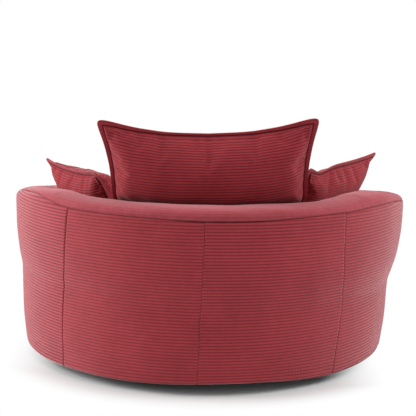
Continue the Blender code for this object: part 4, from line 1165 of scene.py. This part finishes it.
def wood_look(name, light, dark, plies, roughness):
    """Plywood and board: stretched grain on the faces and thin plies along the edges."""
    made, tree, shader, place = new_look(name, roughness)
    grain = noise(tree, stretched(tree, place, WOOD_STRETCH), *WOOD_NOISE)
    inputs = {"Scale": plies, "Distortion": PLY_DISTORTION, "Vector": place}
    ply = add_node(tree, "ShaderNodeTexWave", inputs, wave_type="BANDS", bands_direction="Z")
    banded = math_node(tree, "MULTIPLY", ply.outputs["Fac"], PLY_SHARE)
    share = math_node(tree, "ADD", math_node(tree, "MULTIPLY", grain, WOOD_GRAIN_SHARE), banded, clamp=True)
    tree.links.new(mix_color(tree, share, dark, light), shader.inputs["Base Color"])
    bump(tree, shader, grain, *WOOD_BUMP)
    return made


def plain_look(name, light, dark, scale, roughness, metallic=0.0, stretch=(1.0, 1.0, 1.0), depth=0.0002):
    """A finish with fine uneven colour and relief."""
    made, tree, shader, place = new_look(name, roughness, metallic)
    grain = noise(tree, stretched(tree, place, stretch), scale, PLAIN_DETAIL, PLAIN_GRAIN_ROUGHNESS)
    least = roughness - PLAIN_ROUGHNESS_SHIFT
    uneven = math_node(tree, "MULTIPLY_ADD", grain, PLAIN_ROUGHNESS_SPREAD, least)
    set_inputs(tree, shader, {"Base Color": mix_color(tree, grain, dark, light), "Roughness": uneven})
    bump(tree, shader, grain, PLAIN_BUMP_STRENGTH, depth)
    return made


# The rim's copy of the cord carries a painted sheen in its crest colour, and the cushions' copy carries
# painted shade in its darker crest and groove.
cord = cord_look("cord_pile", COVER_CREST, COVER_GROOVE_SHADE, sheen=0.78, sheen_roughness=0.42, pile_strength=0.7)
cord_rim = cord_look(
    "cord_pile_rim_painted_sheen", RIM_SHEEN_CREST, COVER_GROOVE_SHADE, sheen=0.34, sheen_roughness=0.48, pile_strength=1.0
)
cord_cushion = cord_look(
    "cord_pile_cushion_painted_shade", CUSHION_SHADED_CREST, CUSHION_GROOVE_SHADE, sheen=0.20, sheen_roughness=0.48, pile_strength=0.6
)
NODE_LOOKS = {
    "plywood": wood_look(
        "plywood_face", light=(0.62, 0.44, 0.27), dark=(0.40, 0.25, 0.13), plies=180.0, roughness=0.62
    ),
    "hardboard": wood_look(
        "hardboard_face", light=(0.29, 0.18, 0.10), dark=(0.18, 0.10, 0.05), plies=30.0, roughness=0.72
    ),
    "black_paint": plain_look(
        "black_paint_on_board", (0.016, 0.016, 0.017), (0.008, 0.008, 0.009), scale=160.0, roughness=0.42
    ),
    "nylon": plain_look(
        "black_nylon", (0.028, 0.028, 0.028), (0.015, 0.015, 0.015), scale=300.0, roughness=0.45
    ),
    "zinc_steel": plain_look(
        "zinc_plate",
        (0.70, 0.71, 0.72),
        (0.50, 0.51, 0.53),
        scale=90.0,
        roughness=0.36,
        metallic=1.0,
        stretch=(1.0, 12.0, 12.0),
    ),
}
webbing = plain_look(
    "woven_webbing", (0.050, 0.050, 0.053), (0.016, 0.016, 0.018), scale=900.0, roughness=0.85, depth=0.0005
)
lining = plain_look(
    "non_woven_lining",
    (0.026, 0.026, 0.027),
    (0.012, 0.012, 0.013),
    scale=500.0,
    roughness=0.92,
    depth=0.0004,
)
wadding = plain_look(
    "wadding_fibre", (0.76, 0.74, 0.70), (0.60, 0.58, 0.54), scale=260.0, roughness=0.95, depth=0.0009
)


def dress(piece, body, slot, *replaced, fill):
    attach(piece, body)
    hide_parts(*replaced)


def beside(seam, offset):
    """The edge of a panel beside a seam, a bearing or (height, bearing) pairs, which the offset clears."""
    pairs = seam if isinstance(seam, tuple) else ((HEM_HEIGHT, seam), (SEAM_HEIGHT, seam))

    def edge(height):
        return smooth_between(pairs, height) + offset

    return edge


# Outer covers: label, two edges, top, phase of the ribs, seed, roll at the top and at the two edges
half_gap = math.degrees(GAP / WALL_INNER_RADIUS) / 2
FULL_ROLL, MIDDLE_ROLL, RIGHT_ROLL = SEAM_ROLL_DEPTH, MIDDLE_ROLL_DEPTH, RIGHT_ROLL_DEPTH
BORDER_END_DEGREES = 360.0 - ARM_END_DEGREES
cover_spans = (
    ("left_side", -ARM_END_DEGREES, LEFT_SEAM, cover_top, 0.0, 21, COVER_TOP_ROLL, (FULL_ROLL, FULL_ROLL)),
    ("back_left", LEFT_SEAM, MIDDLE_SEAM, cover_top, 0.42, 22, COVER_TOP_ROLL, (FULL_ROLL, MIDDLE_ROLL)),
    ("back_right", MIDDLE_SEAM, RIGHT_SEAM, cover_top, 0.12, 23, COVER_TOP_ROLL, (MIDDLE_ROLL, RIGHT_ROLL)),
    ("right_side", RIGHT_SEAM, ARM_END_DEGREES, cover_top, 0.55, 24, COVER_TOP_ROLL, (RIGHT_ROLL, FULL_ROLL)),
    (
        "front_border", ARM_END_DEGREES, BORDER_END_DEGREES, deck_top, 0.3, 25, BORDER_TOP_ROLL,
        (FULL_ROLL, FULL_ROLL),
    ),
)
for label, start, end, *values in cover_spans:
    edges = beside(start, half_gap), beside(end, -half_gap)
    panel = make_cover(f"panel_{label}", edges, *values, cord)
    dress(panel, "shell", "cord", f"cover_{label}", fill=0.3)

# Rim and inside
RIM_SEED = 31
INSIDE_SEED = 41
three_spans = (
    ("back", -RIM_SEAM_DEGREES + half_gap, RIM_SEAM_DEGREES - half_gap),
    ("left_arm", -ARM_END_DEGREES + half_gap, -RIM_SEAM_DEGREES - half_gap),
    ("right_arm", RIM_SEAM_DEGREES + half_gap, ARM_END_DEGREES - half_gap),
)
for number, (label, start, end) in enumerate(three_spans):
    rim = make_rim_pad(f"rim_roll_{label}", start, end, cord_rim, RIM_SEED + number)
    dress(rim, "shell", "cord", f"rim_pad_{label}", fill=0.8)
    inside = make_inner_pad(f"inside_{label}", start, end, cord, INSIDE_SEED + number)
    dress(inside, "shell", "cord", f"inner_pad_{label}", fill=0.6)

for label, side in (("left", -1.0), ("right", 1.0)):
    facing = make_facing(f"arm_front_{label}", side, cord)
    dress(facing, "shell", "cord", f"arm_facing_{label}", fill=0.5)

# Seat and loose cushions
seat = make_seat(cord_cushion)
dress(seat, "seat_cushion", "cord_cushion", "seat_cushion", fill=0.8)
for form in CUSHION_FORMS:
    cushion = make_cushion(form, cord_cushion)
    dress(cushion, form.node, "cord_cushion", form.node, fill=0.6)

# Deck pad
DECK_COLUMNS = 120
DECK_EDGE = 0.004
DECK_ROUND = 0.0010
DECK_ROUND_SHARE = 0.997
DECK_TOP_SHARES = (0.985, 0.8, 0.55, 0.3, 0.06)
DECK_UNDER_SHARES = (0.06, 0.5, 0.99)
DECK_SAG = 0.0008
DECK_SAG_WAVES = (6.0, 5.0)


def make_deck():
    """The wadded pad under the seat cushion, softly uneven between the straps."""
    bearings = all_round(DECK_COLUMNS)
    back = INNER_PAD_BACK_RADIUS - GAP
    front = float(drum_radius(DECK_PAD_BOTTOM)) - FRAME_OFFSET - RIB_EDGE_CLEARANCE
    turn = (np.abs(bearings) - RAIL_END_DEGREES) / (ARM_END_DEGREES - RAIL_END_DEGREES)
    outline = back + (front - back) * eased(turn)
    rings = [(1.0, DECK_PAD_BOTTOM + DECK_EDGE), (1.0, DECK_HEIGHT - DECK_EDGE)]
    rings.append((DECK_ROUND_SHARE, DECK_HEIGHT - DECK_ROUND))
    rings += [(share, DECK_HEIGHT) for share in DECK_TOP_SHARES]
    rings += [(share, DECK_PAD_BOTTOM) for share in DECK_UNDER_SHARES]
    around, outwards = DECK_SAG_WAVES
    stations = []
    for share, height in rings:
        wave = 1.0 + np.sin(around * np.radians(bearings) + outwards * share)
        sag = DECK_SAG * wave if height == DECK_HEIGHT else 0.0
        stations.append(at_bearing(outline * share, height - sag, bearings))
    stations = np.stack(stations, axis=0)
    return loft("deck_wadding", stations, np.zeros(stations.shape[:2]), wadding)


deck = make_deck()
dress(deck, "shell", "wadding", "deck_pad", fill=0.7)

# Webbing
STRAP_WIDTH = 0.060
STRAP_THICKNESS = 0.0016
STRAP_SPACING = 0.190
STRAP_STEP = STRAP_THICKNESS + GAP
SEAT_RING_TOP = DECK_PAD_BOTTOM - GAP - 2 * STRAP_STEP
STRAP_CREST_MARGIN = 0.010
STRAP_STATIONS = 121
STRAP_LANDING = SEAT_RING_RADIUS - SEAT_RING_WIDTH / 2
STRAP_CORDS = 9
STRAP_POINTS_A_CORD = 4
STRAP_RELIEF = 0.00018


def make_strap(name, length, offset, crossings, turned):
    """A flat woven strap with lengthwise cords, that passes over and under the straps it crosses."""
    along = length * (np.linspace(0.0, 1.0, STRAP_STATIONS) - 0.5)
    level = 0.0 * along
    flat = STRAP_WIDTH / 2 + STRAP_CREST_MARGIN
    fade = STRAP_SPACING / 2 - flat
    for place, side in crossings:
        level = level + side * (1.0 - eased((np.abs(along - place) - flat) / fade))
    low = SEAT_RING_TOP + GAP + STRAP_STEP * level
    across = np.linspace(-0.5, 0.5, STRAP_POINTS_A_CORD * STRAP_CORDS + 1) * STRAP_WIDTH
    relief = STRAP_RELIEF * (1.0 - np.abs(np.sin(math.pi * STRAP_CORDS * (across / STRAP_WIDTH + 0.5))))
    points_across = np.concatenate([across, across[::-1]])
    rise = np.concatenate([relief, STRAP_THICKNESS - relief])
    a = along[:, None] + 0.0 * points_across[None, :]
    c = offset + points_across[None, :] + 0.0 * a
    z = low[:, None] + rise[None, :]
    stations = np.stack([c, a, z], -1) if turned else np.stack([a, c, z], -1)
    return loft(name, stations, np.zeros(stations.shape[:2]), webbing)


strap_offsets = (-STRAP_SPACING, 0.0, STRAP_SPACING)
for number, offset in enumerate(strap_offsets, 1):
    length = 2.0 * math.sqrt(STRAP_LANDING**2 - (abs(offset) + STRAP_WIDTH / 2) ** 2)
    first = 1.0 if number % 2 else -1.0
    crossings = [(place, first * (-1.0) ** k) for k, place in enumerate(strap_offsets)]
    for label, over, turned in (("lengthwise", (), True), ("crosswise", crossings, False)):
        strap = make_strap(f"strap_{label}_{number}", length, offset, over, turned)
        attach(strap, "shell")
        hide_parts(f"webbing_{label}_{number}")

# Dust cover
DUST_COLUMNS = 180
DUST_ROWS = 13
DUST_HALF_THICKNESS = 0.0003
DUST_RIPPLE = 0.00025
DUST_RIPPLES = 28.0
DUST_RIPPLE_POWER = 3


def make_dust_cover(inner, outer, middle):
    """The thin lining stretched under the bottom ring, with shallow ripples between its staples."""
    bearings = all_round(DUST_COLUMNS)[None, :]
    shares = np.linspace(0.0, 1.0, DUST_ROWS)[:, None]
    radius = inner + (outer - inner) * shares
    ripple = DUST_RIPPLE * np.sin(DUST_RIPPLES * np.radians(bearings)) * shares**DUST_RIPPLE_POWER
    under = at_bearing(radius, middle - DUST_HALF_THICKNESS + ripple, bearings)
    above = at_bearing(radius, middle + DUST_HALF_THICKNESS + ripple, bearings)
    stations = np.concatenate([under, above[::-1]], axis=0)
    return loft("stretched_lining", stations, np.zeros(stations.shape[:2]), lining, closed=True)


dust_low, dust_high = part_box("dust_cover")
dust_inner, dust_outer = DUST_INNER_RADIUS, float(dust_high.x)
dust = make_dust_cover(dust_inner, dust_outer, (dust_low.z + dust_high.z) / 2)
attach(dust, "shell")
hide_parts("dust_cover")

# Finishes of the rigid nodes
slot_of = {part["node"]: part["material_slot"] for part in frame["record"]["subparts"]}
for name, item in nodes.items():
    look = NODE_LOOKS.get(slot_of.get(name))
    if look:
        for place in item.material_slots:
            place.material = look

# Stage. The floor turns white from the first to the second distance round the chair, which paints white light
# over the outer edge of the chair's shadow, and to its sides a second blend paints white light over the
# shadow, from a little further out on the +X side.
WHITE = (1.0, 1.0, 1.0, 1.0)
BACKDROP_STRENGTH = 1.0
AMBIENT = 0.60
FLOOR_REACH = 9.0
FLOOR_COLOR = (0.732, 0.745, 0.745, 1.0)
FLOOR_ROUGHNESS = 0.9
FLOOR_BLEND = (0.585, 0.715)
SIDE_BLEND = (0.38, 0.60)
SIDE_SHIFT = (-0.04, 0.0, 0.0)
SIDEWAYS = (1.0, 0.0, 0.0)
CAMERA_DISTANCE = 3.514
CAMERA_HEIGHT = 1.0187
CAMERA_PITCH_DEGREES = 9.198
CAMERA_ROLL_DEGREES = 0.868
CAMERA_LENS = 92.70
CAMERA_SENSOR = 36.0
CAMERA_SHIFT = 0.0016
CAMERA_REACH = 60.0

# Lamps: name, place, aim, size and power
LAMPS = (
    ("key_left", (3.5, 0.10, 1.5), (0.0, 0.0, 0.35), (1.8, 1.8), 120.0),
    ("fill_right", (-3.5, 0.20, 2.6), (0.0, 0.0, 0.35), (1.8, 1.8), 90.0),
    ("top", (0.0, 0.30, 3.4), (0.0, 0.1, 0.3), (3.0, 2.4), 37.0),
)


def length_share(tree, place, start, end):
    """Rises softly from zero to one as a place's distance from the axis goes from start to end."""
    away = add_node(tree, "ShaderNodeVectorMath", {0: place}, operation="LENGTH").outputs["Value"]
    inputs = {"From Min": start, "From Max": end, "Value": away}
    made = add_node(tree, "ShaderNodeMapRange", inputs, interpolation_type="SMOOTHSTEP")
    return made.outputs["Result"]


def seen_share(tree):
    """One where the camera sees something straight, in a gloss or through a clear piece, and else zero."""
    rays = add_node(tree, "ShaderNodeLightPath").outputs
    seen = math_node(tree, "MAXIMUM", rays["Is Camera Ray"], rays["Is Glossy Ray"])
    return math_node(tree, "MAXIMUM", seen, rays["Is Transmission Ray"])


def blend_surface(tree, share, first, second, output):
    mixed = add_node(tree, "ShaderNodeMixShader", {0: share, 1: first.outputs[0], 2: second.outputs[0]})
    tree.links.new(mixed.outputs[0], tree.nodes[output].inputs["Surface"])


def make_floor():
    mesh = bpy.data.meshes.new("floor")
    corners = [(x * FLOOR_REACH, y * FLOOR_REACH, 0.0) for x, y in ((-1, -1), (1, -1), (1, 1), (-1, 1))]
    mesh.from_pydata(corners, [], [(0, 1, 2, 3)])
    look, tree, shader, place = new_look("pale_floor", FLOOR_ROUGHNESS)
    set_inputs(tree, shader, {"Base Color": FLOOR_COLOR, "Specular IOR Level": 0.0})
    far = length_share(tree, place, *FLOOR_BLEND)
    # Painted light: beside the chair the floor is whitened over its shadow.
    painted_light_beside_chair = length_share(tree, stretched(tree, place, SIDEWAYS, SIDE_SHIFT), *SIDE_BLEND)
    white_and_painted_light_share = math_node(tree, "MAXIMUM", far, painted_light_beside_chair)
    share = math_node(tree, "MULTIPLY", seen_share(tree), white_and_painted_light_share)
    white = add_node(tree, "ShaderNodeEmission", {"Strength": BACKDROP_STRENGTH})
    blend_surface(tree, share, shader, white, "Material Output")
    mesh.materials.append(look)
    add_object("floor", mesh)


def make_world():
    world = bpy.data.worlds.new("studio")
    bpy.context.scene.world = world
    world.use_nodes = True
    tree = world.node_tree
    plain = tree.nodes["Background"]
    set_inputs(tree, plain, {"Color": WHITE, "Strength": AMBIENT})
    white = add_node(tree, "ShaderNodeBackground", {"Color": WHITE, "Strength": BACKDROP_STRENGTH})
    blend_surface(tree, seen_share(tree), plain, white, "World Output")


def add_lamp(name, place, aim, size, power):
    data = bpy.data.lights.new(name, "AREA")
    data.shape = "RECTANGLE"
    data.size, data.size_y = size
    data.energy = power
    lamp = add_object(name, data)
    lamp.location = place
    lamp.rotation_euler = (Vector(aim) - Vector(place)).to_track_quat("-Z", "Y").to_euler()


def make_camera():
    data = bpy.data.cameras.new("camera")
    data.lens = CAMERA_LENS
    data.sensor_width = CAMERA_SENSOR
    data.shift_x = CAMERA_SHIFT
    data.clip_end = CAMERA_REACH
    made = add_object("camera", data)
    made.location = (0.0, CAMERA_DISTANCE, CAMERA_HEIGHT)
    aim = Euler((math.pi / 2 - math.radians(CAMERA_PITCH_DEGREES), 0.0, math.pi)).to_matrix()
    roll = Matrix.Rotation(math.radians(CAMERA_ROLL_DEGREES), 3, "Z")
    made.rotation_euler = (aim @ roll).to_euler()
    bpy.context.scene.camera = made


make_floor()
make_world()
make_camera()
for lamp in LAMPS:
    add_lamp(*lamp)

bpy.context.scene.view_settings.view_transform = "Standard"
